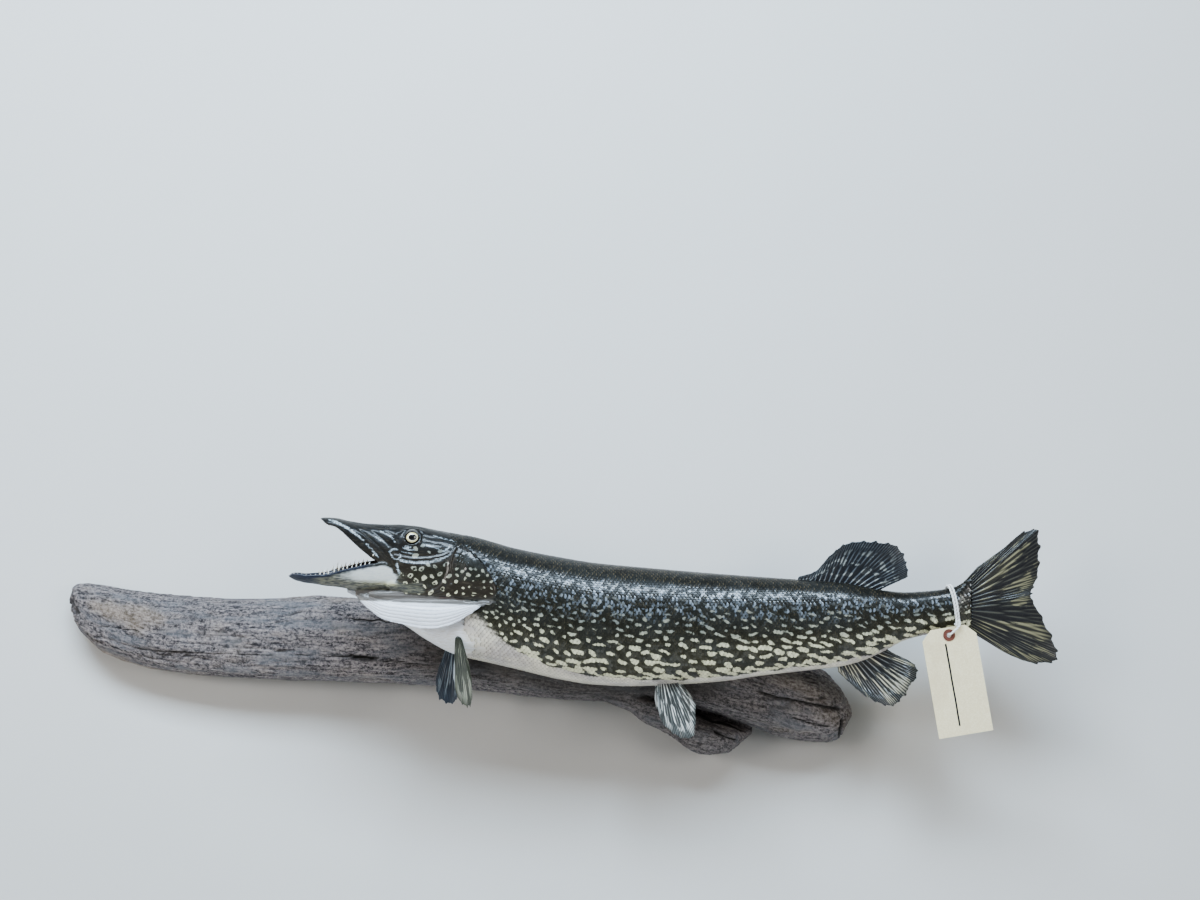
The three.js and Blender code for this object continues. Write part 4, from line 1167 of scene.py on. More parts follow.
def painted(corners, width):
    """A painted stroke in side view: how far inside it a place lies, in mm."""
    far, along = line_distance(skin_body[:, SIDE_VIEW], smooth_line(corners))
    thin = np.clip(np.minimum(along, 1 - along) * 5 + 0.25, 0, 1)
    return np.where(outer_head > 0.5, width * thin - far, FAR_OUTSIDE)


# Pale strokes on each side of the face: partly the fish's own pale marks, such as the bar under
# the eye, and partly painted highlights, thin lines along the wrinkles of the crown, the brow
# and the gill cover that stand for their gloss.
PALE_MARK_AND_GLOSS_STROKES = [                 # [x, z] corners and half width, on each side of the face
    ([[-179, 117.5], [-168, 113.9], [-156, 112.2], [-143, 112.4], [-129, 116.3], [-119, 121]],
     1.3),
    ([[-246, 158.6], [-238, 155.8], [-227, 150.2], [-217, 141.8], [-210, 135.4]], 1.2),
    ([[-208, 133.2], [-201, 125.6], [-195, 118.2]], 0.8),
    ([[-184, 124], [-180, 127.4], [-174, 126.2]], 0.8),
    ([[-183, 123], [-180.5, 118.4], [-176, 115.6], [-171.6, 118.8], [-173, 122.6]], 0.8),
    ([[-170, 128.6], [-164, 126.2], [-157, 126]], 0.7),
    ([[-171, 124.4], [-165, 122.2], [-158, 121.8]], 0.65),
    ([[-176, 113], [-174.6, 106], [-173, 99.5]], 1.0),
    ([[-168, 130], [-160, 129]], 0.9),
    ([[-150, 131], [-140, 130], [-131, 127]], 0.6),
    ([[-128, 124], [-122, 127], [-117, 131]], 0.7),
    ([[-114, 121], [-106, 118], [-99, 112]], 0.6),
    ([[-112, 115], [-104, 112], [-97, 106]], 0.5),
    ([[-105, 131], [-92, 127], [-80, 119]], 0.6),
    ([[-100, 127], [-88, 121], [-76, 111]], 0.6),
    ([[-193, 146.4], [-186, 143.2], [-180, 138.6], [-177, 133]], 0.45),
    ([[-199, 141.4], [-190, 135.4], [-184, 128.8]], 0.45),
    ([[-139, 141.5], [-126, 137.6], [-112, 134]], 0.45),
]
pale = np.max([painted(corners, width) for corners, width in PALE_MARK_AND_GLOSS_STROKES], 0)
pale = np.maximum(pale, FAR_OUTSIDE)
white = region["membrane"] * smoothstep(70.5, 67.5, z + 0.04 * (x + 150))
white = np.maximum(white, region["throat"] * 0.45 + region["gills"] * 0.5)
jaw_light = region["jaw"] * smoothstep(-256, -206, x) * smoothstep(86.5, 96, z + 0.1 * (x + 210))
white = np.maximum(white, jaw_light * smoothstep(-170, -180, x) * 0.75)
fold = (membrane_top(x) - z) / (membrane_top(x) - membrane_bottom(x))
fold = np.where(region["membrane"] > 0.4, fold * 24 + 0.02 * (x + 150), 0)
inside = smoothstep(1.6, 2.8, head_half_width(x) - np.abs(side))
inside = np.maximum(inside, smoothstep(-176, -182, x))
lining = np.clip(region["palate"] * inside + 0.55 * region["trough"] + 0.4 * region["tongue"]
                 + 0.12 * region["gills"], 0, 1)
dark_lip = smoothstep(-250, -268, x) * (region["jaw"] + region["low_lip"])
rim_line = region["low_lip"] + region["jaw"] * smoothstep(-2.2, -0.6, z - jaw_rim(x))
dark_lip = np.clip(dark_lip + rim_line * smoothstep(-196, -212, x), 0, 1)
jaw_low = region["jaw"] * smoothstep(97, 84, z)
for name, values in dict(
        skin_fields, fold=fold, pale=pale, white=white, lining=lining, dark_lip=dark_lip,
        jaw=region["jaw"], jaw_low=jaw_low, membrane=region["membrane"],
        head=outer_head).items():
    paint(skin, name, values)
print("painted the fields on", len(x), "skin vertices")

# %% [markdown]
# The coat of scales. One scale is modelled once: a thin closed lens of 22 triangles, round
# at its free rear edge, narrow at its root, sunk in front and lifted behind. It is copied
# along rows that keep a constant distance from the middle of the flank, each row half a
# scale out of step with the next, as they overlap on the fish. Near the head the copies
# are cast onto the skin itself, and smaller ones cover the nape, the cheek and the top of
# the gill cover.

# %% One scale
SCALE_PITCH = 4.3                # along the body
SCALE_ROW = 3.15                 # across it
SCALE_LONG = 6.9
SCALE_WIDE = 5.7
SCALE_SIDES = 11
UV_START, UV_LONG, UV_HIGH = 180, 660, 380     # the baking map's start and reach, in mm
UV_PATCH = 0.003                 # a scale's patch on it
deselect()
bpy.ops.mesh.primitive_circle_add(vertices=SCALE_SIDES, radius=1, fill_type="TRIFAN")
scale_piece = bpy.context.object
circle = coordinates(scale_piece) * MM
bpy.data.objects.remove(scale_piece)
rim = circle[np.hypot(circle[:, 0], circle[:, 1]) > 0.5]
rim = rim[np.argsort(np.arctan2(rim[:, 1], rim[:, 0]))]
turn = np.arctan2(rim[:, 1], rim[:, 0]) - math.atan2(rim[0, 1], rim[0, 0])
back = np.cos(turn)              # 1 at the free rear edge, -1 at the root
side = 0.5 * np.sin(turn) * (0.62 + 0.38 * smoothstep(-1, 0.1, back))
rim_height = np.interp(back, [-1, -0.2, 0.5, 1], [-0.42, -0.12, 0.2, 0.36])
rim_height -= 0.16 * np.abs(side) * 2
SCALE_SHAPE = np.concatenate([
    np.column_stack([0.5 * back, side, rim_height]), [[0.1, 0, 0.42], [0.05, 0, -0.1]]])
j = np.arange(SCALE_SIDES)
onward = (j + 1) % SCALE_SIDES
SCALE_FACES = np.concatenate([grid(j, onward, SCALE_SIDES), grid(onward, j, SCALE_SIDES + 1)])
SCALE_EDGE = np.concatenate([smoothstep(-0.4, 1, back), [0.42, 0.42]])
print("a scale has", len(SCALE_FACES), "triangles")


def surface_frames(x, arc, sign):
    """Points on the skin under the scales, with directions to the tail and outwards."""
    def at(x, arc):
        place = trunk_place(x, angle_at(x, np.clip(arc, 0, half_girth(x))), -COAT_DEPTH)
        place[:, 1] *= sign
        return posed(place)
    here = at(x, arc)
    tail = unit(at(x + 1.5, arc) - at(x - 1.5, arc))
    round_way = at(x, arc + 1.2) - at(x, arc - 1.2)
    return here, tail, unit(np.cross(tail, round_way) * sign)


MOST_ROWS = 40                   # on each side of the flank's middle


def flank_rows():
    """Where the scales of one side go: x and arc."""
    places = []
    for row in range(-MOST_ROWS, MOST_ROWS + 1):
        x = np.arange(-118, 461, SCALE_PITCH) + (row % 2) * SCALE_PITCH / 2
        arc = half_girth(x) / 2 + row * SCALE_ROW
        keep = (arc > 0.2) & (arc < half_girth(x) - 0.2)
        places.append(np.stack([x[keep], arc[keep]], -1))
    return np.concatenate(places)


rows = flank_rows()
print(len(rows), "places for scales on a flank")

# %% Cast scales on the skin near the head
skin_triangles = corners_of(skin)
skin_tree = BVHTree.FromPolygons(skin_points.tolist(), skin_triangles.tolist())
face_region = skin_names[skin_triangles[:, 0]]
CAST_REACH = 14
CAST_BEFORE = -58                # the flank's scales are cast on the skin up to here


def cast(points, ways):
    """Cast points inwards on the skin: hit places, normals, region names, or no hit."""
    found, normals, names = points.copy(), ways.copy(), []
    for i, (point, way) in enumerate(zip(points, ways)):
        start = Vector(point + way * CAST_REACH)
        hit, normal, face, _ = skin_tree.ray_cast(start, Vector(-way), 2 * CAST_REACH)
        names.append(face_region[face] if hit else "")
        if hit:
            found[i], normals[i] = hit, normal
    return found, normals, np.array(names)


def small_places(outline, pitch, row):
    """Staggered rows of [x, z] places inside an outline in side view."""
    outline = np.array(outline, float)
    low, high = outline.min(0), outline.max(0)
    places = []
    for k, z in enumerate(np.arange(low[1], high[1], row)):
        x = np.arange(low[0], high[0], pitch) + (k % 2) * pitch / 2
        places.append(np.stack([x, np.full(len(x), z)], -1))
    places = np.concatenate(places)
    inside = np.zeros(len(places), bool)
    x, z = places.T
    for a, b in zip(outline, np.roll(outline, -1, 0)):
        at = a[0] + (z - a[1]) * (b[0] - a[0]) / (b[1] - a[1] + 1e-9)
        inside ^= ((a[1] > z) != (b[1] > z)) & (x < at)
    return places[inside]


CHEEK_SCALES = [[-160, 107], [-126, 110], [-124.5, 101], [-129, 91], [-140, 86],
                [-152, 86], [-160, 92]]
COVER_SCALES = [[-111, 124], [-103, 125], [-90, 114], [-80, 101], [-77, 94], [-113, 94],
                [-115, 108]]
FACING = 0.8                     # how nearly a cast's normal has to agree with its scale's
xs, arcs = rows.T
coat = {}
for sign in (-1, 1):
    here, tail, out = surface_frames(xs, arcs, sign)
    size = np.interp(xs, [-118, -80, 380, 462], [0.62, 1, 1, 0.8])
    near = np.flatnonzero(xs < CAST_BEFORE)
    hits, normals, names = cast(here[near], out[near])
    good = np.ones(len(xs), bool)
    good[near] = np.einsum("ij,ij->i", normals, out[near]) > FACING
    here[near] = hits
    out[near] += 0.5 * normals
    out = unit(out)
    above = body_places(here[near])[:, 2] > 127
    good[near] &= (names == "trunk") | ((names == "head") & above)
    stray = body_places(here)
    good &= ~((stray[:, 0] < -104) & (stray[:, 2] < 128))
    extra = np.concatenate([small_places(CHEEK_SCALES, 2.9, 2.1),
                            small_places(COVER_SCALES, 3.2, 2.3)])
    x, z = extra.T
    guess = np.column_stack([x, sign * head_side(x, z), z])
    way = unit(posed(guess * [1, 1.2, 1]) - posed(guess))
    hits, normals, names = cast(posed(guess), way)
    ok = (names == "head") | (names == "cover")
    x, z = extra[ok].T
    here = np.concatenate([here[good], hits[ok]])
    out = np.concatenate([out[good], normals[ok]])
    tail = np.concatenate([tail[good], np.tile([1.0, 0, 0], (len(x), 1))])
    size = np.concatenate([size[good], np.where(x < -118, 0.58, 0.64)])
    on_head = np.concatenate([np.zeros(good.sum()), np.ones(len(x))])
    arc = np.concatenate([arcs[good], head_top(x) - z + HEAD_LIE])
    tail = unit(tail - out * np.einsum("ij,ij->i", tail, out)[:, None])
    coat[sign] = dict(here=here, tail=tail, out=out, size=size, on_head=on_head, arc=arc)
    print("side", sign, "gets", len(here), "scales")


UNEVEN = 0.07                    # how much scales differ in direction, lift and width
HEAD_RELIEF = 0.34               # of the relief that the trunk's scales have


def make_coat(name, here, tail, out, size, on_head, arc, sign):
    """One side's scales as a joined mesh, with the pattern's fields and a baking map."""
    count, corners = len(here), len(SCALE_SHAPE)
    across = np.cross(out, tail)
    jitter = random.normal(0, UNEVEN, (count, 3))
    tail = tail + across * jitter[:, :1] + out * (0.045 + 0.2 * jitter[:, 1:2])
    shape = SCALE_SHAPE[None] * size[:, None, None]
    relief = np.where(on_head > 0, HEAD_RELIEF, 1.0)[:, None, None]
    points = (here[:, None] + tail[:, None] * shape[..., :1] * SCALE_LONG
              + across[:, None] * shape[..., 1:2] * SCALE_WIDE * (1 + jitter[:, None, 2:3])
              + out[:, None] * (shape[..., 2:] * relief + 0.02))
    faces = SCALE_FACES[None] + (np.arange(count) * corners)[:, None, None]
    points = points.reshape(-1, 3)
    piece = mesh_piece(name, points, faces.reshape(-1, 3))
    on_rim = (edges_of(piece) % corners < SCALE_SIDES).all(1)
    crisp = piece.data.attributes.new("sharp_edge", "BOOLEAN", "EDGE")
    crisp.data.foreach_set("value", on_rim)
    roots = body_places(here)
    plain = np.repeat(on_head, corners)
    fields = fields_at(0.8 * body_places(points) + 0.2 * np.repeat(roots, corners, 0), plain)
    for key, values in fields.items():
        paint(piece, key, values)
    paint(piece, "edge", np.tile(SCALE_EDGE, count) * (1 - plain) + 0.5 * plain)
    paint(piece, "own", np.repeat(random.random(count), corners))
    place = np.stack([(roots[:, 0] + UV_START) / UV_LONG, 0.5 + sign * (arc + 4) / UV_HIGH], -1)
    uv = (place[:, None] + SCALE_SHAPE[:, :2] * UV_PATCH).reshape(-1, 2)
    layer = piece.data.uv_layers.new(name="OFBake")
    corner_of = listed(piece.data.loops, "vertex_index", 1, np.int32)
    layer.data.foreach_set("uv", uv[corner_of].astype(np.float32).ravel())
    return piece


coat_pieces = {sign: make_coat(f"scales_{'left' if sign < 0 else 'right'}",
                               **coat[sign], sign=sign) for sign in (-1, 1)}
for piece in coat_pieces.values():
    print(piece.name, "has", len(piece.data.polygons), "triangles")

# %% [markdown]
# Materials are node trees. These helpers add a node, link or set its inputs and hand back
# its first output, so a tree reads like a formula. What several materials share is a group
# that gives out only colours, values and normals; the shader itself stays in the material.

# %% Node helpers


def put(tree, socket, value):
    """Link a value to a shader's input, or set it there; colours are given without alpha."""
    if isinstance(value, bpy.types.NodeSocket):
        tree.links.new(value, socket)
    elif hasattr(socket.default_value, "__len__"):
        socket.default_value = tuple(value) + (1,) * (len(socket.default_value) - 3)
    else:
        socket.default_value = value


def node(tree, kind, *inputs, output=0, **settings):
    """Add a node; inputs are sockets to link, or numbers and colours to set."""
    made = tree.nodes.new("ShaderNode" + kind)
    for key, value in settings.items():
        setattr(made, key, value)
    places = [socket for socket in made.inputs if socket.enabled]
    for socket, value in zip(places, inputs):
        put(tree, socket, value)
    return [socket for socket in made.outputs if socket.enabled][output]


def calc(tree, operation, a, b=0.0):
    """One arithmetic step."""
    return node(tree, "Math", a, b, operation=operation)


def times(tree, first, *others):
    """The product of some values."""
    for other in others:
        first = calc(tree, "MULTIPLY", first, other)
    return first


def plus(tree, a, b):
    """A sum."""
    return calc(tree, "ADD", a, b)


def swing(tree, value, amount):
    """A value around 0.5 as one around 0, times an amount."""
    return times(tree, calc(tree, "SUBTRACT", value, 0.5), amount)


def blend(tree, factor, a, b, kind="MIX"):
    """Colour a where the factor is 0, b where it is 1."""
    return node(tree, "Mix", factor, a, b, data_type="RGBA", blend_type=kind,
                clamp_factor=True)


def ramp(tree, value, low, high, to_low=0.0, to_high=1.0):
    """A smooth step of a value from one range to another."""
    return node(tree, "MapRange", value, low, high, to_low, to_high,
                interpolation_type="SMOOTHSTEP")


def noise(tree, place, scale, detail=3.0, rough=0.55):
    """Cloudy noise around 0.5."""
    return node(tree, "TexNoise", place, scale, detail, rough)


def field(tree, name, output="Fac"):
    """An attribute painted on the piece."""
    made = tree.nodes.new("ShaderNodeAttribute")
    made.attribute_name = name
    return made.outputs[output]


def object_place(tree):
    """The place on the piece, in metres, which the patterns are drawn in."""
    return node(tree, "TexCoord", output=3)


def stretched(tree, place, scale):
    """A place with its axes scaled, to draw noise out along the body."""
    return node(tree, "Mapping", place, (0, 0, 0), (0, 0, 0), scale)


def bumps(tree, height, distance):
    """Small relief as a normal."""
    made = tree.nodes.new("ShaderNodeBump")
    made.inputs["Strength"].default_value = 1.0
    made.inputs["Distance"].default_value = distance
    tree.links.new(height, made.inputs["Height"])
    return made.outputs[0]


def use_group(tree, shared):
    """Put a shared group in a material."""
    made = tree.nodes.new("ShaderNodeGroup")
    made.node_tree = shared
    return made.outputs


def material(name):
    """A new material, its node tree and its Principled shader."""
    made = bpy.data.materials.new(name)
    made.use_nodes = True
    return made, made.node_tree, made.node_tree.nodes["Principled BSDF"]


def dress(tree, shader, **inputs):
    """Link or set the shader's inputs by name, with _ for a space."""
    for key, value in inputs.items():
        put(tree, shader.inputs[key.replace("_", " ")], value)


# %% [markdown]
# The fish's paint. Skin and scales both use this group, so a spot runs on unbroken from
# one to the other. The taxidermist airbrushes a blackish olive over the back, leaves the
# flank browner, dots it with spots that turn from slate blue to cream, and lets the belly
# stay the colour of old ivory. Fine speckles break every colour up.

# %% The pattern's colours
BACK = (0.008, 0.0075, 0.006)
FLANK = (0.015, 0.0145, 0.010)
LOW_FLANK = (0.034, 0.030, 0.015)
SPOT_HIGH = (0.085, 0.10, 0.12)
SPOT_MIDDLE = (0.22, 0.235, 0.21)
SPOT_LOW = (0.60, 0.58, 0.41)
BELLY = (0.62, 0.57, 0.47)
BELLY_GREY = (0.42, 0.38, 0.36)

paint_tree = bpy.data.node_groups.new("pike_paint", "ShaderNodeTree")
for name, kind in (("Color", "NodeSocketColor"), ("Light", "NodeSocketFloat")):
    paint_tree.interface.new_socket(name=name, in_out="OUTPUT", socket_type=kind)
paint_out = paint_tree.nodes.new("NodeGroupOutput")
t = paint_tree
lie = field(t, "lie", "Vector")
down = field(t, "down")
fine = noise(t, lie, 900.0, 2.0)
middling = noise(t, stretched(t, lie, (0.7, 1.2, 1)), 260.0, 3.0)
broad = noise(t, stretched(t, lie, (0.5, 1.0, 1)), 42.0, 3.0)
ragged = swing(t, middling, 2.4)
ground = blend(t, ramp(t, down, 0.12, 0.42), BACK, FLANK)
ground = blend(t, ramp(t, down, 0.42, 0.85), ground, LOW_FLANK)
ground = blend(t, ramp(t, broad, 0.35, 0.7, 0.0, 0.5), ground, (0.030, 0.034, 0.036))
ground = blend(t, ramp(t, fine, 0.5, 0.75, 0.0, 0.5), ground, (0.085, 0.075, 0.045))
spot_colour = blend(t, ramp(t, down, 0.28, 0.5), SPOT_HIGH, SPOT_MIDDLE)
spot_colour = blend(t, ramp(t, down, 0.46, 0.72), spot_colour, SPOT_LOW)
spot_colour = blend(t, ramp(t, broad, 0.4, 0.65, 0.0, 0.35), spot_colour, (0.50, 0.47, 0.33))
spot_edge = plus(t, field(t, "spot"), ragged)
spot_mask = times(t, ramp(t, spot_edge, -0.35, 0.4), ramp(t, down, 0.17, 0.36),
                  ramp(t, middling, 0.2, 0.42, 0.55, 1.0))
belly_mask = ramp(t, plus(t, field(t, "belly"), ragged), -0.7, 0.8)
belly_colour = blend(t, ramp(t, broad, 0.35, 0.7), BELLY, BELLY_GREY)
colour = blend(t, belly_mask, ground, belly_colour)
colour = blend(t, spot_mask, colour, spot_colour)
t.links.new(colour, paint_out.inputs["Color"])
t.links.new(calc(t, "MAXIMUM", belly_mask, spot_mask), paint_out.inputs["Light"])
print("the fish's paint has", len(t.nodes), "nodes")

# %% Skin
skin_material, t, shader = material("painted fish skin")
paint_of = use_group(t, paint_tree)
place = object_place(t)
colour = paint_of["Color"]
scratch = noise(t, stretched(t, place, (0.35, 1, 1.3)), 420.0, 4.0, 0.65)
head = field(t, "head")
head_tint = blend(t, ramp(t, field(t, "down"), 0.34, 0.6), (0.006, 0.006, 0.006),
                  (0.022, 0.017, 0.011))
head_tint = blend(t, ramp(t, scratch, 0.5, 0.72, 0.0, 0.55), head_tint, (0.07, 0.058, 0.04))
plain = times(t, head, calc(t, "SUBTRACT", 1.0, paint_of["Light"]))
colour = blend(t, plain, colour, head_tint)
streaks = noise(t, stretched(t, place, (0.25, 1, 2.2)), 520.0, 3.0)
# Pale marks of the face and painted highlights on its wrinkles, in bluish white.
pale_edge = plus(t, field(t, "pale"), swing(t, streaks, 4.5))
flicker = ramp(t, noise(t, place, 650.0, 2.0), 0.36, 0.6, 0.25, 1.0)
pale_mark_and_gloss_mask = times(t, ramp(t, pale_edge, -0.5, 0.7), flicker)
colour = blend(t, pale_mark_and_gloss_mask, colour, (0.52, 0.60, 0.66))
jaw = field(t, "jaw")
low = field(t, "jaw_low")
jaw_colour = blend(t, ramp(t, low, 0.05, 0.7), (0.58, 0.60, 0.57), (0.42, 0.39, 0.16))
jaw_colour = blend(t, ramp(t, streaks, 0.42, 0.66, 0.0, 0.5), jaw_colour, (0.40, 0.43, 0.45))
white = field(t, "white")
white_colour = blend(t, jaw, (0.76, 0.79, 0.85), jaw_colour)
fold_noise = noise(t, stretched(t, place, (1.0, 1.0, 4.0)), 140.0, 3.0)
white_colour = blend(t, ramp(t, fold_noise, 0.48, 0.75, 0.0, 0.35), white_colour,
                     (0.56, 0.57, 0.60))
white_edge = plus(t, white, swing(t, streaks, 0.7))
fold = plus(t, field(t, "fold"), times(t, streaks, 1.6))
fold = calc(t, "ABSOLUTE", calc(t, "SINE", fold))
folded = ramp(t, field(t, "membrane"), 0.4, 0.9)
# Painted shade: the membrane's fold lines are darkened along the valleys of their bump.
fold_line_shade = times(t, ramp(t, fold, 0.42, 0.0, 0.0, 0.6), folded)
white_colour = blend(t, fold_line_shade, white_colour, (0.38, 0.42, 0.48))
# Painted shade: the top of the membrane, tucked in under the jaw, is painted grey for the jaw's
# shade on it.
painted_shade_under_jaw = times(t, field(t, "membrane"), calc(t, "SUBTRACT", 1.0, white))
colour = blend(t, painted_shade_under_jaw, colour, (0.16, 0.15, 0.14))
jaw_dark = blend(t, ramp(t, streaks, 0.4, 0.62), (0.05, 0.052, 0.05), (0.17, 0.165, 0.12))
colour = blend(t, jaw, colour, jaw_dark)
colour = blend(t, ramp(t, white_edge, 0.1, 0.75), colour, white_colour)
lining = field(t, "lining")
lining_colour = blend(t, ramp(t, noise(t, place, 120.0, 4.0), 0.35, 0.65),
                      (0.13, 0.06, 0.06), (0.06, 0.035, 0.05))
colour = blend(t, lining, colour, lining_colour)
colour = blend(t, field(t, "dark_lip"), colour, (0.012, 0.016, 0.03))
relief = plus(t, times(t, scratch, 0.7), times(t, noise(t, place, 1400.0, 2.0), 0.3))
relief = plus(t, relief, times(t, fold, folded, 1.4))
normal = bumps(t, relief, 0.00035)
dress(t, shader, Base_Color=colour, Normal=normal, Coat_Roughness=0.08,
      Coat_Weight=ramp(t, field(t, "down"), 0.28, 0.4, 0.14, 0.5),
      Roughness=ramp(t, scratch, 0.3, 0.7, 0.36, 0.55), Specular_IOR_Level=0.3)
t.links.new(bumps(t, scratch, 0.00010), shader.inputs["Coat Normal"])

# %% Scales
scale_material, t, shader = material("painted fish scales")
paint_of = use_group(t, paint_tree)
place = object_place(t)
edge = field(t, "edge")
own = field(t, "own")
down = field(t, "down")
colour = paint_of["Color"]
shade = ramp(t, own, 0.0, 1.0, 0.86, 1.12)
colour = blend(t, 1.0, colour, node(t, "CombineColor", shade, shade, shade), "MULTIPLY")
cloudy = ramp(t, noise(t, place, 110.0, 3.0), 0.42, 0.58)
# Painted highlights: pale bluish glints on scattered scales of the upper flank, towards their
# rear edges.
painted_glints = times(t, ramp(t, down, 0.09, 0.18), ramp(t, down, 0.50, 0.25),
              ramp(t, own, 0.35, 0.8, 0.0, 0.62), cloudy, ramp(t, edge, 0.3, 0.6))
colour = blend(t, painted_glints, colour, (0.30, 0.36, 0.44))
rear = times(t, ramp(t, edge, 0.72, 1.0), ramp(t, down, 0.0, 0.5, 0.55, 0.15),
             ramp(t, own, 0.2, 0.9))
colour = blend(t, rear, colour, (0.20, 0.155, 0.085))
# Painted shade: each scale is darkened at its root, where it lies under the scale in front.
root = ramp(t, edge, 0.10, 0.45, 0.7, 0.0)
colour = blend(t, root, colour, (0.008, 0.008, 0.006))
growth = noise(t, place, 1600.0, 2.0)
dress(t, shader, Base_Color=colour, Normal=bumps(t, growth, 0.00012),
      Coat_Weight=times(t, ramp(t, down, 0.03, 0.2, 0.12, 0.95),
                        ramp(t, own, 0.2, 0.95, 0.12, 1.0)),
      Coat_Roughness=0.07, Specular_IOR_Level=0.22,
      Roughness=ramp(t, growth, 0.3, 0.7, 0.30, 0.48))
finish_piece(skin, skin_material, "fish_skin", "head", "lower_jaw", "tongue",
             "gill_cover_left", "gill_cover_right", "gill_membrane_left",
             "gill_membrane_right", "throat", "trunk_front", "trunk_rear", "tail_stem")
for piece in coat_pieces.values():
    finish_piece(piece, scale_material, "fish_skin")

# %% [markdown]
# Fins. Each is a membrane over bony rays that fork on their way out, dried and painted. A
# fin is drawn as a fan between its root line and its rim, both smooth curves through named
# places. Its surface is a grid, u across the rays and v out along them, closed front and
# back: rays stand up as ridges that split in two and again in two, the skin between sinks
# in, the rim is notched between the rays and torn here and there.

# %% Fin shapes
PECTORAL_ROOT = [[-113.5, 31], [-111, 33], [-108, 32], [-106, 29]]
PELVIC = dict(
    root=[[111, -18], [116, -16], [123, -16], [129, -18]], rays=9,
    rim=[[110, -46], [113, -60], [123, -73], [135, -81], [145, -82], [152, -74], [153, -48],
         [142, -30]])
FINS = {                         # [x, z] corners; how far aside the root and the rim lie
    "dorsal_fin": dict(
        root=[[268, 82], [300, 82], [330, 80], [356, 72]], side=[0, 0], rays=17,
        rim=[[270, 93], [289, 99.5], [306, 118], [324, 131], [350, 134], [378, 129.5],
             [392, 112], [393, 94.5], [364, 84]]),
    "anal_fin": dict(
        root=[[312, 2], [326, 4], [346, 10], [366, 18]], side=[0, 0], rays=15,
        rim=[[314, -13], [333, -31], [352, -45], [372, -51.5], [386, -43], [399, -25],
             [403.5, -10], [391, 1], [370, 8]]),
    "caudal_fin": dict(
        root=[[456, 88], [461, 78], [463, 62], [461, 46], [456, 36]], side=[0, 0], rays=20,
        rim=[[470, 104], [500, 126], [524, 145], [537, 147.5], [540, 125], [538, 97],
             [532, 80], [530, 70], [544, 44], [558, 13], [556, 0], [536, -4], [510, 4],
             [470, 27]]),
    "pectoral_fin_left": dict(
        root=PECTORAL_ROOT, side=[-30, -44], rays=9,
        rim=[[-116, -9], [-114, -24], [-109, -35], [-101.5, -42], [-97.5, -41], [-95.5, -27],
             [-96, -14], [-99, 4]]),
    "pectoral_fin_right": dict(
        root=PECTORAL_ROOT, side=[30, 26], rays=9,
        rim=[[-128, -8], [-131, -24], [-129, -41], [-121, -48], [-112.5, -49], [-107, -40],
             [-104, -22], [-104, -4]]),
    "pelvic_fin_left": dict(PELVIC, side=[-14, -30]),
    "pelvic_fin_right": dict(PELVIC, side=[14, 20]),
}
FIN_KINDS = (0, 1, 2, 3, 4, 5, 5)          # each fin's row in the table of colours
DORSAL, ANAL, PALE_HEMMED = 0, 1, (3, 5)
POINTS_PER_RAY, FIN_ROWS = 14, 44


def curve_through(corners, u):
    """The smooth curve through corners, as the solids' fins have it."""
    corners = np.array(corners, float)
    steps = np.linspace(0, 1, len(corners))
    return np.stack([track(np.stack([steps, corners[:, k]], -1))(u) for k in (0, 1)], -1)


def ray_ridges(lane, v):
    """The height of the rays at a place: ridges that fork twice on the way out."""
    level = [lane, lane * 2 + 0.5, lane * 4 + 0.5]
    ridge = [np.exp(-((x - np.round(x)) / width) ** 2)
             for x, width in zip(level, (0.13, 0.2, 0.27))]
    second, third = smoothstep(0.34, 0.6, v), smoothstep(0.66, 0.9, v)
    out = ridge[0] * (1 - second) + ridge[1] * second * (1 - third) + ridge[2] * third
    return out * (1 - 0.45 * v)


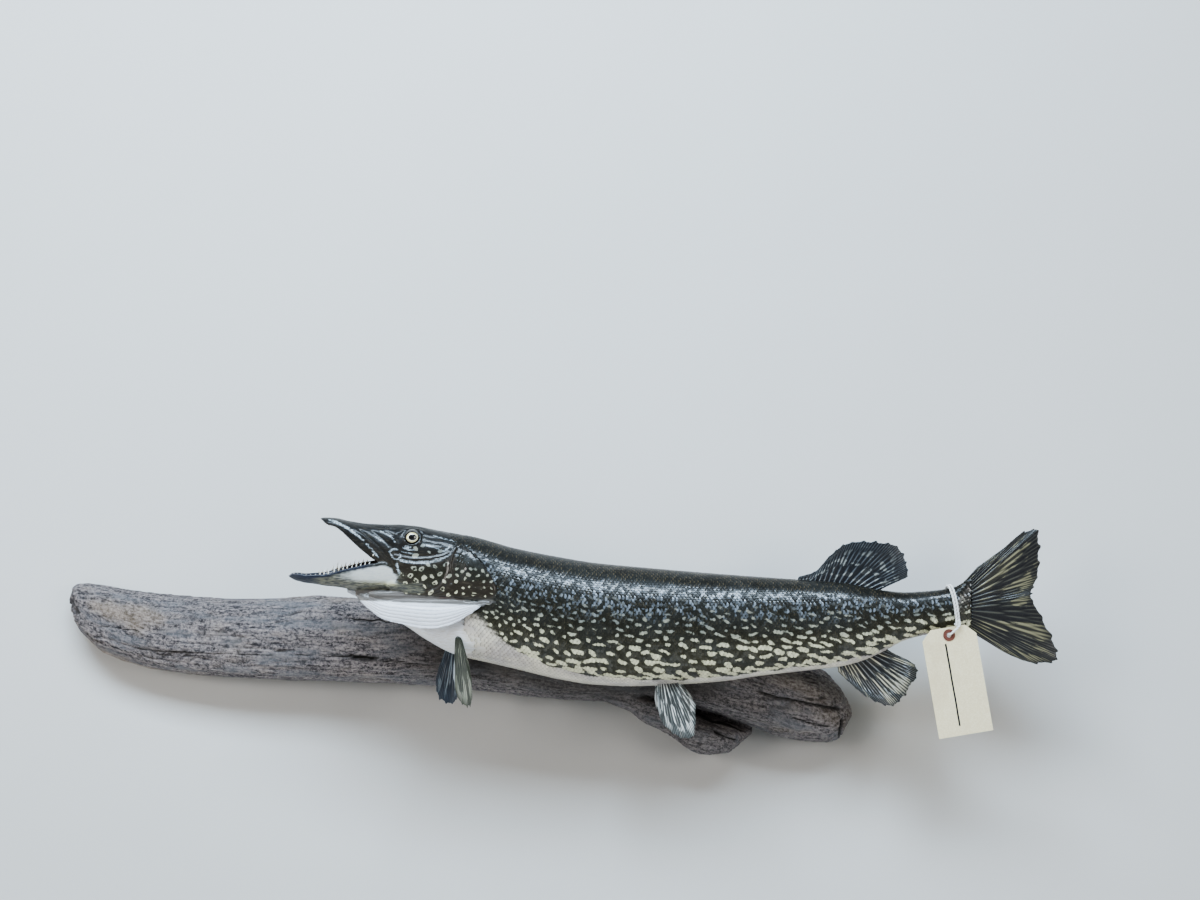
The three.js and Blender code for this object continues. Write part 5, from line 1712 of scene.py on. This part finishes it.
def make_fin(name, root, rim, side, rays):
    """One closed fin with rays, notches and a slight wave."""
    cols, rows = rays * POINTS_PER_RAY, FIN_ROWS
    u, v = np.meshgrid(np.linspace(0, 1, cols), np.linspace(0, 1, rows) ** 0.9)
    seed = random.uniform(0, 6.28, 4)
    low, high = curve_through(root, u[0]), curve_through(rim, u[0])
    lane = u[0] * rays
    notch = 0.016 * (0.5 - 0.5 * np.cos(2 * np.pi * lane)) ** 2
    notch += 0.012 * (0.5 - 0.5 * np.cos(4 * np.pi * lane))
    tear = np.clip(np.sin(lane * 1.7 + seed[0]) * np.sin(lane * 0.61 + seed[1]), 0, 1) ** 6
    torn = notch * (1 + 1.4 * np.sin(lane * 0.9 + seed[2]) ** 2) + 0.05 * tear
    torn *= np.clip(np.minimum(u[0], 1 - u[0]) * 14, 0, 1)
    reach = v * (1 - torn[None] * smoothstep(0.55, 1, v))
    bend = 0.012 * np.sin(2 * np.pi * (v * 0.8 + seed[3])) * np.sin(u * rays * 1.3)
    plane = low[None] + (high - low)[None] * reach[..., None]
    plane[..., 0] += bend * 14 * v
    ripple = 1.3 * np.sin(u * rays * 1.25 + seed[1]) * v ** 1.5
    ripple += 0.8 * np.sin(u * 7 + v * 5 + seed[2]) * v
    ripple *= np.clip(np.minimum(u, 1 - u) * 6, 0.25, 1)
    across = side[0] + (side[1] - side[0]) * v ** 1.3 + ripple
    ridges = ray_ridges(u * rays, reach)
    thick = (1.5 - 0.95 * v ** 0.7) * (0.35 + 0.65 * ridges) + 0.12
    thick *= np.clip(1.25 - 1.1 * v ** 8, 0.3, 1)
    x, z = plane[..., 0], plane[..., 1]
    points = np.stack([grid(x, across - thick, z), grid(x, across + thick, z)]).reshape(-1, 3)
    n = rows * cols
    i, j = np.meshgrid(np.arange(rows - 1), np.arange(cols - 1), indexing="ij")
    a = (i * cols + j).ravel()
    sheet = np.stack([a, a + 1, a + cols + 1, a + cols], -1)
    loop = np.concatenate([np.arange(cols), np.arange(1, rows) * cols + cols - 1,
                           (rows - 1) * cols + np.arange(cols - 2, -1, -1),
                           np.arange(rows - 2, 0, -1) * cols])
    onward = np.roll(loop, -1)
    wall = np.stack([loop, loop + n, onward + n, onward], -1)
    quads = np.concatenate([sheet, sheet[:, ::-1] + n, wall])
    placed = posed(points)
    piece = mesh_piece(name + "_rays", placed, outwards(placed, triangles_of(quads)))
    for key, values in dict(across=u, reach=reach, ridge=ridges, lane=u * rays).items():
        paint(piece, key, np.tile(values.ravel(), 2))
    return piece


fin_pieces = {name: make_fin(name, **shape) for name, shape in FINS.items()}
for piece in fin_pieces.values():
    print(piece.name, len(piece.data.polygons), "triangles")

# %% Fin colours
FIN_COLOURS = [          # membrane, ray, blotch, blotches along a ray, threshold, blotch width
    ((0.006, 0.008, 0.012), (0.085, 0.10, 0.115), (0.27, 0.29, 0.28), 9.0, 0.55, 0.8),
    ((0.006, 0.007, 0.009), (0.15, 0.16, 0.16), (0.46, 0.44, 0.34), 1.8, 0.50, 1.0),
    ((0.006, 0.006, 0.008), (0.065, 0.065, 0.052), (0.21, 0.195, 0.12), 1.5, 0.50, 0.8),
    ((0.035, 0.038, 0.030), (0.16, 0.165, 0.12), (0.32, 0.32, 0.25), 3.0, 0.54, 0.9),
    ((0.015, 0.021, 0.032), (0.075, 0.10, 0.13), (0.20, 0.24, 0.27), 3.0, 0.55, 0.9),
    ((0.030, 0.034, 0.034), (0.26, 0.275, 0.26), (0.66, 0.68, 0.65), 4.0, 0.50, 1.1),
]


def fin_material(kind):
    """Rays, the membrane between them, and the streaky blotches of this fin."""
    membrane, ray, blotch, dashes, level, wide = FIN_COLOURS[kind]
    made, t, shader = material(f"fin {kind}")
    reach = field(t, "reach")
    place = object_place(t)
    ridge = field(t, "ridge")
    lane = field(t, "lane")
    grain = noise(t, place, 700.0, 3.0)
    on_ray = ramp(t, ridge, 0.2, 0.75)
    colour = blend(t, on_ray, membrane, ray)
    colour = blend(t, ramp(t, grain, 0.45, 0.75, 0.0, 0.4), colour, (0.03, 0.027, 0.02))
    cells = noise(t, node(t, "CombineXYZ", times(t, lane, wide),
                          times(t, reach, dashes), float(kind)), 1.0, 1.0, 0.4)
    wisps = noise(t, node(t, "CombineXYZ", times(t, lane, 6.0),
                          times(t, reach, 9.0), 3.0), 1.0, 3.0)
    amount = plus(t, cells, swing(t, wisps, 0.35))
    outer, inner = (0.9, 0.5) if kind == DORSAL else (1.0, 0.82)
    mask = times(t, ramp(t, amount, level, level + 0.07), ramp(t, ridge, 0.05, 0.55, 0.08, 1.0),
                 ramp(t, reach, outer, inner, 0.15, 1.0), ramp(t, reach, 0.02, 0.2))
    colour = blend(t, mask, colour, blotch)
    if kind == ANAL:
        band = times(t, ramp(t, reach, 0.66, 0.74), ramp(t, reach, 0.88, 0.80),
                     ramp(t, wisps, 0.40, 0.56), on_ray)
        colour = blend(t, band, colour, (0.50, 0.57, 0.64))
    if kind in PALE_HEMMED:
        hem = ramp(t, field(t, "across"), 0.16, 0.02, 0.0, 0.9)
        hem = times(t, hem, ramp(t, reach, 0.45, 0.8))
        colour = blend(t, hem, colour, (0.62, 0.65, 0.66))
    height = plus(t, times(t, wisps, 0.6), times(t, grain, 0.4))
    dress(t, shader, Base_Color=colour, Normal=bumps(t, height, 0.0003), Coat_Weight=0.4,
          Coat_Roughness=0.2, Roughness=ramp(t, grain, 0.3, 0.7, 0.34, 0.55),
          Specular_IOR_Level=0.35)
    return made


fin_materials = [fin_material(kind) for kind in range(len(FIN_COLOURS))]
for (name, piece), kind in zip(fin_pieces.items(), FIN_KINDS):
    finish_piece(piece, fin_materials[kind], "fin", name)

# %% [markdown]
# Eyes. A taxidermist's glass eye is a clear lens with a painted back: black pupil, a cream
# ring, mottled brown outside it, black at the rim. The ball is a sphere set in the socket
# that the skin already has, and its paint is drawn in rings round the direction it looks
# in. The pupil of a pike is drawn out forwards, so the rings are slightly egg-shaped.

# %% Eyeballs
EYE_MATERIAL, t, shader = material("glass eye")
gaze = field(t, "gaze", "Vector")
ahead = node(t, "SeparateXYZ", gaze)
upward = node(t, "SeparateXYZ", gaze, output=1)
place = object_place(t)


def oval(tree, x, y, wide, high):
    """1 on an oval of this half width and height, less inside, more outside."""
    px, py = times(tree, x, 1 / wide), times(tree, y, 1 / high)
    return calc(tree, "SQRT", plus(tree, times(tree, px, px), times(tree, py, py)))


fleck = noise(t, place, 1500.0, 4.0)
shifted = plus(t, ahead, 0.3)
pupil = oval(t, shifted, upward, 4.6, 3.3)
pupil = plus(t, pupil, swing(t, fleck, 0.10))
iris = oval(t, ahead, upward, 6.7, 5.7)
iris = plus(t, iris, swing(t, fleck, 0.16))
gold = blend(t, ramp(t, fleck, 0.38, 0.62), (0.78, 0.70, 0.36), (0.60, 0.50, 0.22))
inner = blend(t, ramp(t, pupil, 1.12, 1.45), (0.86, 0.83, 0.62), gold)
colour = blend(t, ramp(t, pupil, 0.97, 1.05), (0.003, 0.003, 0.003), inner)
colour = blend(t, ramp(t, iris, 0.93, 1.06), colour, (0.012, 0.010, 0.008))
dress(t, shader, Base_Color=colour, Roughness=0.25, Coat_Weight=1.0, Coat_Roughness=0.02,
      Specular_IOR_Level=0.6)

LOOK = np.array([0, 10, 0.8])    # from the eye's middle to a place that it looks at
for sign, side_name in ((-1, "left"), (1, "right")):
    centre = posed(EYE * [1, sign, 1])
    look = unit(posed((EYE + LOOK) * [1, sign, 1]) - centre)
    deselect()
    bpy.ops.mesh.primitive_uv_sphere_add(segments=64, ring_count=40, radius=EYE_RADIUS * MM)
    eye = bpy.context.object
    eye.name = "eyeball_" + side_name
    points = coordinates(eye)
    move_vertices(eye, points + centre)
    tail_way = unit(np.cross(look, [0, 0, 1.0]))
    tail_way *= -np.sign(tail_way[0])
    up_way = np.cross(tail_way, look)
    up_way *= np.sign(up_way[2])
    depth = points @ look
    turn = np.arctan2(points @ up_way, points @ tail_way)
    spread = np.arccos(np.clip(depth / EYE_RADIUS, -1, 1)) * EYE_RADIUS
    paint(eye, "gaze", np.stack([spread * np.cos(turn), spread * np.sin(turn), depth], -1))
    select_only(eye)
    bpy.ops.object.shade_smooth()
    finish_piece(eye, EYE_MATERIAL, "eye", "eye_" + side_name)

# %% [markdown]
# Teeth. The lower jaw carries large fangs that lean inwards and back, with small ones
# between; the palate has bands of fine backward hooks. One fang and one hook are modelled:
# a cone, bent by moving its rings, smooth and closed. Copies stand along the jaw's rim
# with their roots sunk in the gum.

# %% One tooth
deselect()
bpy.ops.mesh.primitive_cone_add(vertices=10, radius1=0.5, radius2=0.06, depth=1.0,
                                location=(0, 0, 0.5))
cone = bpy.context.object
bpy.ops.object.transform_apply(location=True)
edit_all(cone, bpy.ops.mesh.subdivide, number_cuts=3)
TOOTH_POINTS = coordinates(cone) * MM
TOOTH_FACES = corners_of(cone)
height = TOOTH_POINTS[:, 2].copy()
TOOTH_POINTS[:, :2] *= (1 - 0.25 * height[:, None] + 0.5 * (height * (1 - height))[:, None])
TOOTH_POINTS[:, 0] += 0.22 * height ** 2
bpy.data.objects.remove(cone)
print("a tooth has", len(TOOTH_FACES), "triangles")


def make_teeth(name, places):
    """Teeth at body places: x, side, z, height, width, lean back, lean in, up or down."""
    points, faces = [], []
    for k, (x, side, z, high, wide, back_lean, in_lean, way) in enumerate(places):
        shape = TOOTH_POINTS * [wide, wide, high]
        lean = shape[:, 2] / high
        spot = np.stack([x + shape[:, 0] + back_lean * high * lean,
                         side + shape[:, 1] - np.sign(side) * in_lean * high * lean,
                         z + way * shape[:, 2]], -1)
        points.append(spot)
        faces.append(outwards(spot, TOOTH_FACES) + k * len(TOOTH_POINTS))
    body = np.concatenate(points)
    piece = mesh_piece(name, posed(body), np.concatenate(faces))
    paint(piece, "height", np.tile(height, len(places)))
    return piece


DEEPEST = 60


def skin_below(x, side, z, way):
    """The height at which a vertical cast from a body place meets the skin."""
    start = Vector(posed([x, side, z]))
    hit = skin_tree.ray_cast(start, Vector((0, 0, way)), DEEPEST)[0]
    return hit[2] if hit else None


fangs = []
FANGS = [[-255, 3.4], [-251, 4.2], [-246.6, 4.6], [-240.6, 5.8], [-236, 7.6], [-231.6, 4.2],
         [-227.4, 5.4], [-222.6, 3.6], [-218, 4.8], [-213.6, 3.0], [-209, 3.6], [-204.6, 2.6],
         [-200.6, 2.4]]                   # place and height
ROOT = 0.9                       # how deep a fang's root is sunk
for x, high in FANGS:
    for sign in (-1, 1):
        side = sign * (jaw_half_width(x) - 2.1)
        floor = skin_below(x, side, jaw_rim(x) + 12, -1)
        if floor is not None and floor > jaw_rim(x) - 6:
            lift = 1 + 0.1 * math.sin(7 * x + sign)
            fangs.append([x, side, floor - ROOT, high * lift + ROOT, 1.9, 0.12, 0.14, 1])
print(len(fangs), "fangs in the lower jaw")

# %% Small hooks on the palate and the jaw's front
hooks = []
for x in np.arange(-249, -206, 2.6):
    for sign in (-1, 1):
        side = sign * max(2.5, head_half_width(x) - 2.6)
        roof = skin_below(x, side, head_edge(x) - 9, 1)
        if roof is not None and roof < head_edge(x) + 5:
            high = 2.0 + 0.7 * math.sin(3 * x + sign)
            hooks.append([x, side, roof + 0.6, high + 0.6, 1.15, 0.45, 0.1, -1])
for x in np.arange(-246, -196, 2.2):
    for sign in (-1, 1):
        for lane in (0.28, 0.42, 0.56):
            x += random.normal(0, 0.5)
            side = sign * lane * head_half_width(x) + random.normal(0, 0.9)
            roof = skin_below(x, side, head_edge(x) - 4, 1)
            if roof is not None:
                hooks.append([x, side, roof + 0.5, 1.7 + random.random(), 0.9, 0.6, 0.0, -1])
for x in (-281, -277.5, -273.5, -269, -264.5, -260):
    for sign in (-1, 1):
        side = sign * (jaw_half_width(x) - 2.0)
        floor = skin_below(x, side, jaw_rim(x) + 9, -1)
        if floor is not None:
            hooks.append([x, side, floor - 0.5, 1.9, 1.0, 0.4, 0.2, 1])
tooth_material, t, shader = material("teeth")
root = ramp(t, field(t, "height"), 0.05, 0.5)
colour = blend(t, root, (0.46, 0.38, 0.26), (0.83, 0.81, 0.74))
dress(t, shader, Base_Color=colour, Roughness=0.28, Coat_Weight=0.6, Coat_Roughness=0.1)
finish_piece(make_teeth("fangs", fangs), tooth_material, "mouth")
finish_piece(make_teeth("palate_hooks", hooks), tooth_material, "mouth")

# %% [markdown]
# Driftwood is a grey, sun-bleached log with its soft grain washed out: long shallow
# furrows, pits, a few drying cracks that follow the grain, and worn ends. The solid has
# the log's outline, the seat of the fish and the recesses for the hangers. A copy of it is
# remeshed finely, and its vertices sink into furrows, pits and cracks. The back, which
# lies on the wall, and the seat stay as they are.

# %% Noise in space
CELLS = (64, 32, 32)             # after which the noise repeats


def cloud(places, seed):
    """Smooth noise from -1 to 1 at places (n, 3), one cell to a unit."""
    lattice = np.random.default_rng(seed).uniform(-1, 1, CELLS)
    base = np.floor(places).astype(int)
    s = places - base
    s = s * s * (3 - 2 * s)
    total = np.zeros(len(places))
    for corner in range(8):
        step = np.array([corner & 1, (corner >> 1) & 1, corner >> 2])
        weight = np.prod(np.where(step, s, 1 - s), axis=1)
        i, j, k = ((base + step) % CELLS).T
        total += weight * lattice[i, j, k]
    return total


def wood_middle(x):
    """The height of the log's middle line, which the grain follows."""
    return np.interp(x, [-578, -546, -464, -345, -151, 30, 161, 268, 343],
                     [56, 44, 21, 14, 9, -12, -26, -58, -74])


# %% Fine mesh of the log
WOOD_VOXEL = 1.85
source = bpy.data.objects["driftwood"]
log = source.copy()
log.data = source.data.copy()
log.name = "weathered_log"
bpy.context.scene.collection.objects.link(log)
log.parent = None
log.matrix_world = source.matrix_world
select_only(log)
bpy.ops.object.transform_apply(location=True, rotation=True, scale=True)
edit_all(log, bpy.ops.mesh.remove_doubles, threshold=0.01 * MM)
apply_modifier(log, "REMESH", mode="VOXEL", voxel_size=WOOD_VOXEL * MM, use_smooth_shade=True)
apply_modifier(log, "SMOOTH", factor=0.5, iterations=6)
wood = coordinates(log)
wood_normals = vertex_normals(log)
print("the log has", len(log.data.polygons), "faces")

# %% Furrows, pits and cracks
SEAT_GAP = 3                     # the wood stays as it is this close to the fish
FRONT_HALF = -12                 # cracks are cut where y is below this
PROUDEST = 1.6
x, y, z = wood.T
body = body_places(wood)
middle, half = body_middle(body[:, 0])
seat = (np.abs(body[:, 1]) / (body_half_width(body[:, 0]) + SEAT_GAP)) ** BODY_ROUNDNESS
seat += (np.abs(body[:, 2] - middle) / (half + SEAT_GAP)) ** BODY_ROUNDNESS
free = smoothstep(0.98, 1.12, seat) * smoothstep(-1.5, -5, y)
across = z - wood_middle(x)


def grained(along, deep, high, seed):
    """Noise whose cells follow the grain and have this size, in mm."""
    return cloud(np.stack([x / along, y / deep, across / high], -1), seed)


slow = grained(70, 26, 26, 3)
grain = np.stack([x / 52, y / 5.5, across / 5.5 + 0.5 * slow], -1)
furrow = cloud(grain, 5) + 0.6 * cloud(grain * [2.1, 2.2, 2.2], 6)
lump = grained(34, 20, 20, 8)
pit = np.clip(grained(7.5, 4.2, 4.2, 9) - 0.38, 0, 1)
nick = grained(3.4, 2.2, 2.2, 10)
ridged = 1 - np.abs(grained(95, 11, 8.5, 12))
seam = np.clip((ridged - 0.93) / 0.07, 0, 1)
depth = 0.75 * furrow + 1.0 * lump - 2.6 * pit + 0.35 * nick - 1.5 * seam
CRACKS = [                             # [x, z] along the front, half width and depth in mm
    ([[218, -38], [262, -49], [300, -57], [340, -67]], 1.6, 3.0),
    ([[80, -42], [118, -51], [163, -72], [214, -89], [233, -98]], 1.4, 1.6),
    ([[331, -72], [327, -88], [330, -106]], 2.0, 3.6),
    ([[-244, 2], [-226, -1], [-208, -3]], 1.9, 2.4),
    ([[-512, 10], [-455, 3], [-380, 1], [-330, 0], [-300, 2]], 1.0, 1.0),
    ([[-330, 1], [-250, 0], [-160, -9], [-120, -12]], 1.1, 1.2),
    ([[-540, 34], [-505, 29], [-478, 28]], 1.4, 1.7),
    ([[-250, 44], [-200, 40], [-170, 38]], 1.3, 1.5),
    ([[176, -84], [196, -98], [210, -101]], 1.9, 2.4),
    ([[262, -68], [290, -78], [320, -84]], 1.8, 1.8),
]
cracked = np.zeros(len(wood))
jag = 1.1 * cloud(np.stack([x / 9, z * 0, z * 0 + 3], -1), 15)
for corners, width, deep in CRACKS:
    far, along = line_distance(np.stack([x, z + jag], -1), smooth_line(corners, 2))
    thin = np.clip(np.minimum(along, 1 - along) * 7, 0.15, 1)
    gap = np.exp(-(far / (width * (0.45 + 0.55 * thin))) ** 2) * thin
    cracked = np.maximum(cracked, gap)
    depth -= deep * gap * (y < FRONT_HALF)
knot = np.hypot((x - 263) / 1.25, z + 92)
depth += np.where(knot < 13, 0.9 * np.cos(knot * 1.15) * smoothstep(13, 6, knot), 0)
end_rough = smoothstep(-560, -574, x) * 2.4 * cloud(np.stack([x / 6, y / 6, z / 3.2], -1), 16)
rise = np.minimum(depth + end_rough, PROUDEST) * free
move_vertices(log, wood + wood_normals * rise[:, None])
paint(log, "grain", np.stack([x, y, across + 3 * slow], -1) * MM)
# The depth of furrows, pits and cracks, and where the cracks run, which the painted shade below
# darkens.
paint(log, "hollow", np.clip(-depth / 3.2, -0.4, 1) * free)
paint(log, "crack", cracked * (y < FRONT_HALF))
# Painted shadow of the fish on the log: darker close under its belly.
under_fish = np.where(x > -210, smoothstep(-215, -120, x) * smoothstep(
    60, 8, body_bottom(np.clip(x, -100, 462)) - z), 0)
paint(log, "painted_fish_shadow", np.clip(under_fish * smoothstep(232, 170, x), 0, 1))
print("the deepest crack is", round(-float(rise.min()), 1), "mm deep")

# %% Wood colours
WOOD_PALE = (0.33, 0.295, 0.285)
WOOD_GREY = (0.108, 0.098, 0.103)
WOOD_DARK = (0.024, 0.023, 0.026)
WOOD_TAN = (0.42, 0.325, 0.215)
wood_material, t, shader = material("weathered driftwood")
grain_place = field(t, "grain", "Vector")
fibre = noise(t, stretched(t, grain_place, (48, 330, 330)), 1.0, 5.0, 0.7)
flecks = noise(t, stretched(t, grain_place, (260, 340, 340)), 1.0, 5.0, 0.85)
coarse = noise(t, stretched(t, grain_place, (14, 60, 60)), 1.0, 4.0, 0.6)
patch = noise(t, stretched(t, grain_place, (9, 17, 17)), 1.0, 3.0)
mottle = plus(t, times(t, fibre, 0.4), times(t, flecks, 0.6))
colour = blend(t, ramp(t, mottle, 0.44, 0.60), WOOD_GREY, WOOD_PALE)
colour = blend(t, ramp(t, mottle, 0.50, 0.40, 0.0, 0.9), colour, WOOD_DARK)
colour = blend(t, ramp(t, coarse, 0.48, 0.66, 0.0, 0.55), colour, (0.16, 0.165, 0.18))
along = node(t, "SeparateXYZ", grain_place)
tan_amount = times(t, ramp(t, patch, 0.50, 0.66), ramp(t, along, -0.40, -0.56, 0.15, 0.32))
colour = blend(t, tan_amount, colour, WOOD_TAN)
# Painted shade: furrows, pits and cracks are darkened by their depth.
hollow = ramp(t, field(t, "hollow"), 0.12, 0.8, 0.0, 0.85)
colour = blend(t, hollow, colour, (0.040, 0.037, 0.036))
# Darker over the log's right part, and darker still in the painted shadow of the fish, whichever
# is more.
rightward = times(t, ramp(t, along, -0.16, 0.02), ramp(t, along, 0.33, 0.16, 0.6, 1.0))
shade = calc(t, "MAXIMUM", field(t, "painted_fish_shadow"), times(t, rightward, 0.55))
colour = blend(t, times(t, shade, 0.8), colour, (0.050, 0.044, 0.040))
# Painted shade: the cracks are painted near black inside.
colour = blend(t, ramp(t, field(t, "crack"), 0.5, 0.95), colour, (0.012, 0.011, 0.010))
height = plus(t, times(t, fibre, 0.5), times(t, flecks, 0.5))
dress(t, shader, Base_Color=colour, Normal=bumps(t, height, 0.0022),
      Roughness=ramp(t, mottle, 0.3, 0.7, 0.95, 0.78), Specular_IOR_Level=0.25)
finish_piece(log, wood_material, "driftwood", "driftwood")

# %% [markdown]
# The tag is manila card with a pressed-paper ring round its hole. Its writing isn't
# copied, and only a plain ruled ink line is kept on it. It is tied on with soft cotton
# string. Card, ring, hangers and nails stay the solids, with materials of their own.

# %% Card and paper
card_material, t, shader = material("manila card")
place = object_place(t)
fibres = noise(t, place, 620.0, 5.0, 0.65)
soft = noise(t, place, 34.0, 3.0)
colour = blend(t, ramp(t, fibres, 0.42, 0.66), (0.76, 0.68, 0.46), (0.84, 0.77, 0.56))
colour = blend(t, ramp(t, soft, 0.45, 0.7, 0.0, 0.4), colour, (0.64, 0.55, 0.37))
TAG_LEAN = math.radians(9.4)
LINE_ASIDE = 0.0053              # from the hole to the ruled line, in metres
LINE_TOP, LINE_END = 0.0085, 0.0995
right_way = (math.cos(TAG_LEAN), 0, math.sin(TAG_LEAN))
down_way = (math.sin(TAG_LEAN), 0, -math.cos(TAG_LEAN))
from_hole = node(t, "VectorMath", place, tuple(TAG_HOLE * MM), operation="SUBTRACT")
across = node(t, "VectorMath", from_hole, right_way, operation="DOT_PRODUCT")
below = node(t, "VectorMath", from_hole, down_way, operation="DOT_PRODUCT")
wobble = swing(t, soft, 0.0012)
off_line = calc(t, "ABSOLUTE", plus(t, plus(t, across, LINE_ASIDE), wobble))
ink = times(t, ramp(t, off_line, 0.0011, 0.0008), ramp(t, below, LINE_TOP, LINE_TOP + MM),
            ramp(t, below, LINE_END + MM, LINE_END))
colour = blend(t, ink, colour, (0.010, 0.010, 0.014))
dress(t, shader, Base_Color=colour, Roughness=0.82, Normal=bumps(t, fibres, 0.0002),
      Specular_IOR_Level=0.25)
ring_material, t, shader = material("pressed paper ring")
place = object_place(t)
fibres = noise(t, place, 900.0, 4.0)
colour = blend(t, ramp(t, fibres, 0.4, 0.65), (0.12, 0.038, 0.026), (0.19, 0.065, 0.042))
dress(t, shader, Base_Color=colour, Roughness=0.6, Normal=bumps(t, fibres, 0.0002))
steel_material, t, shader = material("zinc-plated steel")
place = object_place(t)
spangle = noise(t, place, 260.0, 4.0)
colour = blend(t, ramp(t, spangle, 0.35, 0.65), (0.42, 0.43, 0.44), (0.58, 0.59, 0.60))
dress(t, shader, Base_Color=colour, Metallic=1.0, Normal=bumps(t, spangle, 0.0001),
      Roughness=ramp(t, spangle, 0.3, 0.7, 0.32, 0.5))
materials_of = {"tag": card_material, "tag_ring": ring_material}
for side in ("left", "right"):
    for part in ("", "_nail_1", "_nail_2"):
        materials_of[f"hanger_{side}{part}"] = steel_material
for name, made in materials_of.items():
    solid = bpy.data.objects[name]
    solid.data.materials.clear()
    solid.data.materials.append(made)
print("dressed", len(materials_of), "solids")

# %% The string and its knot
STRING_SIDES, STRANDS, TWIST_LENGTH = 18, 3, 11
OVER_SIZE = 1.04                 # makes up for the grooves between the strands
strand = tube(string_line, STRING_DIAMETER / 2 * OVER_SIZE, sides=STRING_SIDES, lobes=STRANDS,
              lobe_depth=0.2, twist=2 * math.pi / TWIST_LENGTH)
string_points, string_faces = loft(strand)
turn = np.linspace(0, 2 * np.pi, 121)
trefoil = np.stack([np.sin(turn) + 2 * np.sin(2 * turn), np.cos(turn) - 2 * np.cos(2 * turn),
                    -1.3 * np.sin(3 * turn)], -1) * 0.62 + string_line[6]
knot_points, knot_faces = loft(tube(trefoil, 0.85, sides=12))
string = mesh_piece("cotton_string", np.concatenate([string_points, knot_points]),
                    np.concatenate([string_faces, knot_faces + len(string_points)]))
across = np.concatenate([
    np.tile(np.arange(STRING_SIDES) / STRING_SIDES, len(string_line)), [0, 0],
    np.zeros(len(knot_points))])
run = np.concatenate([
    np.repeat(np.arange(len(string_line)) * STRING_STEP, STRING_SIDES), [0, 0],
    np.linspace(0, 20, len(knot_points))])
paint(string, "strand", across - run / TWIST_LENGTH)
cotton_material, t, shader = material("white cotton string")
place = object_place(t)
# Painted shade: the grooves between the three strands are grey, the strands themselves white.
wave = calc(t, "ABSOLUTE", calc(t, "SINE", times(t, field(t, "strand"), math.pi * STRANDS)))
fuzz = noise(t, place, 2600.0, 3.0)
colour = blend(t, ramp(t, wave, 0.05, 0.5), (0.50, 0.49, 0.46), (0.82, 0.82, 0.80))
dress(t, shader, Base_Color=colour, Roughness=0.9, Normal=bumps(t, fuzz, 0.0003),
      Specular_IOR_Level=0.2, Sheen_Weight=0.3)
finish_piece(string, cotton_material, "cotton", "tag_string")
print("the string is tied:", round(string_length), "mm of cotton")

# %% [markdown]
# The stage is a photographer's pale paper sweep, a wall that curves into a floor below the
# mount. It is clear from behind, so the back of the mount is seen and lit. Daylight comes
# from a large window-like area light in front and above, which draws a bluish gloss along
# the fish's back, with a weaker fill from the left and a soft, light surround.

# %% Sweep
SWEEP_Y, SWEEP_TOP, SWEEP_BEND, SWEEP_FRONT, SWEEP_SIDE = 6, 2600, -300, -4200, 3600
BEND_RADIUS = 260
turn = np.radians(np.linspace(0, 90, 16))
bend = np.stack([SWEEP_Y - BEND_RADIUS * (1 - np.cos(turn)),
                 SWEEP_BEND - BEND_RADIUS * np.sin(turn)], -1)
profile = np.concatenate([[[SWEEP_Y, SWEEP_TOP], [SWEEP_Y, SWEEP_BEND]], bend,
                          [[SWEEP_FRONT, SWEEP_BEND - BEND_RADIUS]]])
sweep_points = np.stack([grid(x, *profile.T) for x in (-SWEEP_SIDE, SWEEP_SIDE)])
n = len(profile)
i = np.arange(n - 1)
sweep = mesh_piece("studio_sweep", sweep_points.reshape(-1, 3),
                   np.stack([i, i + 1, i + 1 + n, i + n], -1))
sweep_material, t, shader = material("pale paper sweep")
place = object_place(t)
tone = noise(t, place, 3.0, 2.0)
colour = blend(t, tone, (0.60, 0.59, 0.57), (0.64, 0.63, 0.61))
facing = t.nodes.new("ShaderNodeNewGeometry").outputs["Backfacing"]
shaded = t.nodes.new("ShaderNodeLightPath").outputs["Is Shadow Ray"]
dress(t, shader, Base_Color=colour, Roughness=0.95, Specular_IOR_Level=0.1,
      Alpha=calc(t, "SUBTRACT", 1.0, calc(t, "MAXIMUM", facing, shaded)))
sweep.data.materials.append(sweep_material)
sweep_normal = sweep.data.polygons[0].normal
print("the sweep faces", tuple(round(v, 2) for v in sweep_normal))

# %% Lights


def area_light(name, place, aim, size, power, colour):
    """A rectangular soft light at a place, turned towards its aim."""
    deselect()
    bpy.ops.object.light_add(type="AREA", location=place)
    light = bpy.context.object
    light.name = name
    light.data.shape = "RECTANGLE"
    light.data.size, light.data.size_y = size
    light.data.energy = power
    light.data.color = colour
    turn = (Vector(aim) - Vector(place)).to_track_quat("-Z", "Y")
    light.rotation_euler = turn.to_euler()


area_light("window", (-0.2, -1.35, 1.75), (0.0, -0.1, 0.05), (2.0, 0.6), 78,
           (0.68, 0.84, 1.0))
area_light("fill_left", (-2.1, -1.9, 0.6), (-0.1, -0.1, 0.05), (1.0, 1.0), 30,
           (1.0, 0.97, 0.93))
area_light("fill_right", (2.0, -1.9, 0.4), (0.2, -0.1, 0.0), (1.0, 1.0), 20,
           (1.0, 0.98, 0.95))
area_light("behind", (0.2, 1.6, 1.2), (0, 0, 0.05), (1.6, 1.0), 22, (1.0, 0.98, 0.96))
ROOM_COLOUR = (0.80, 0.82, 0.85, 1)
ROOM_STRENGTH = 0.17
world = bpy.data.worlds.new("soft room")
bpy.context.scene.world = world
world.use_nodes = True
background = world.node_tree.nodes["Background"]
background.inputs["Color"].default_value = ROOM_COLOUR
background.inputs["Strength"].default_value = ROOM_STRENGTH
bpy.context.scene.view_settings.look = "AgX - Medium High Contrast"
print("four lights and a soft surround")
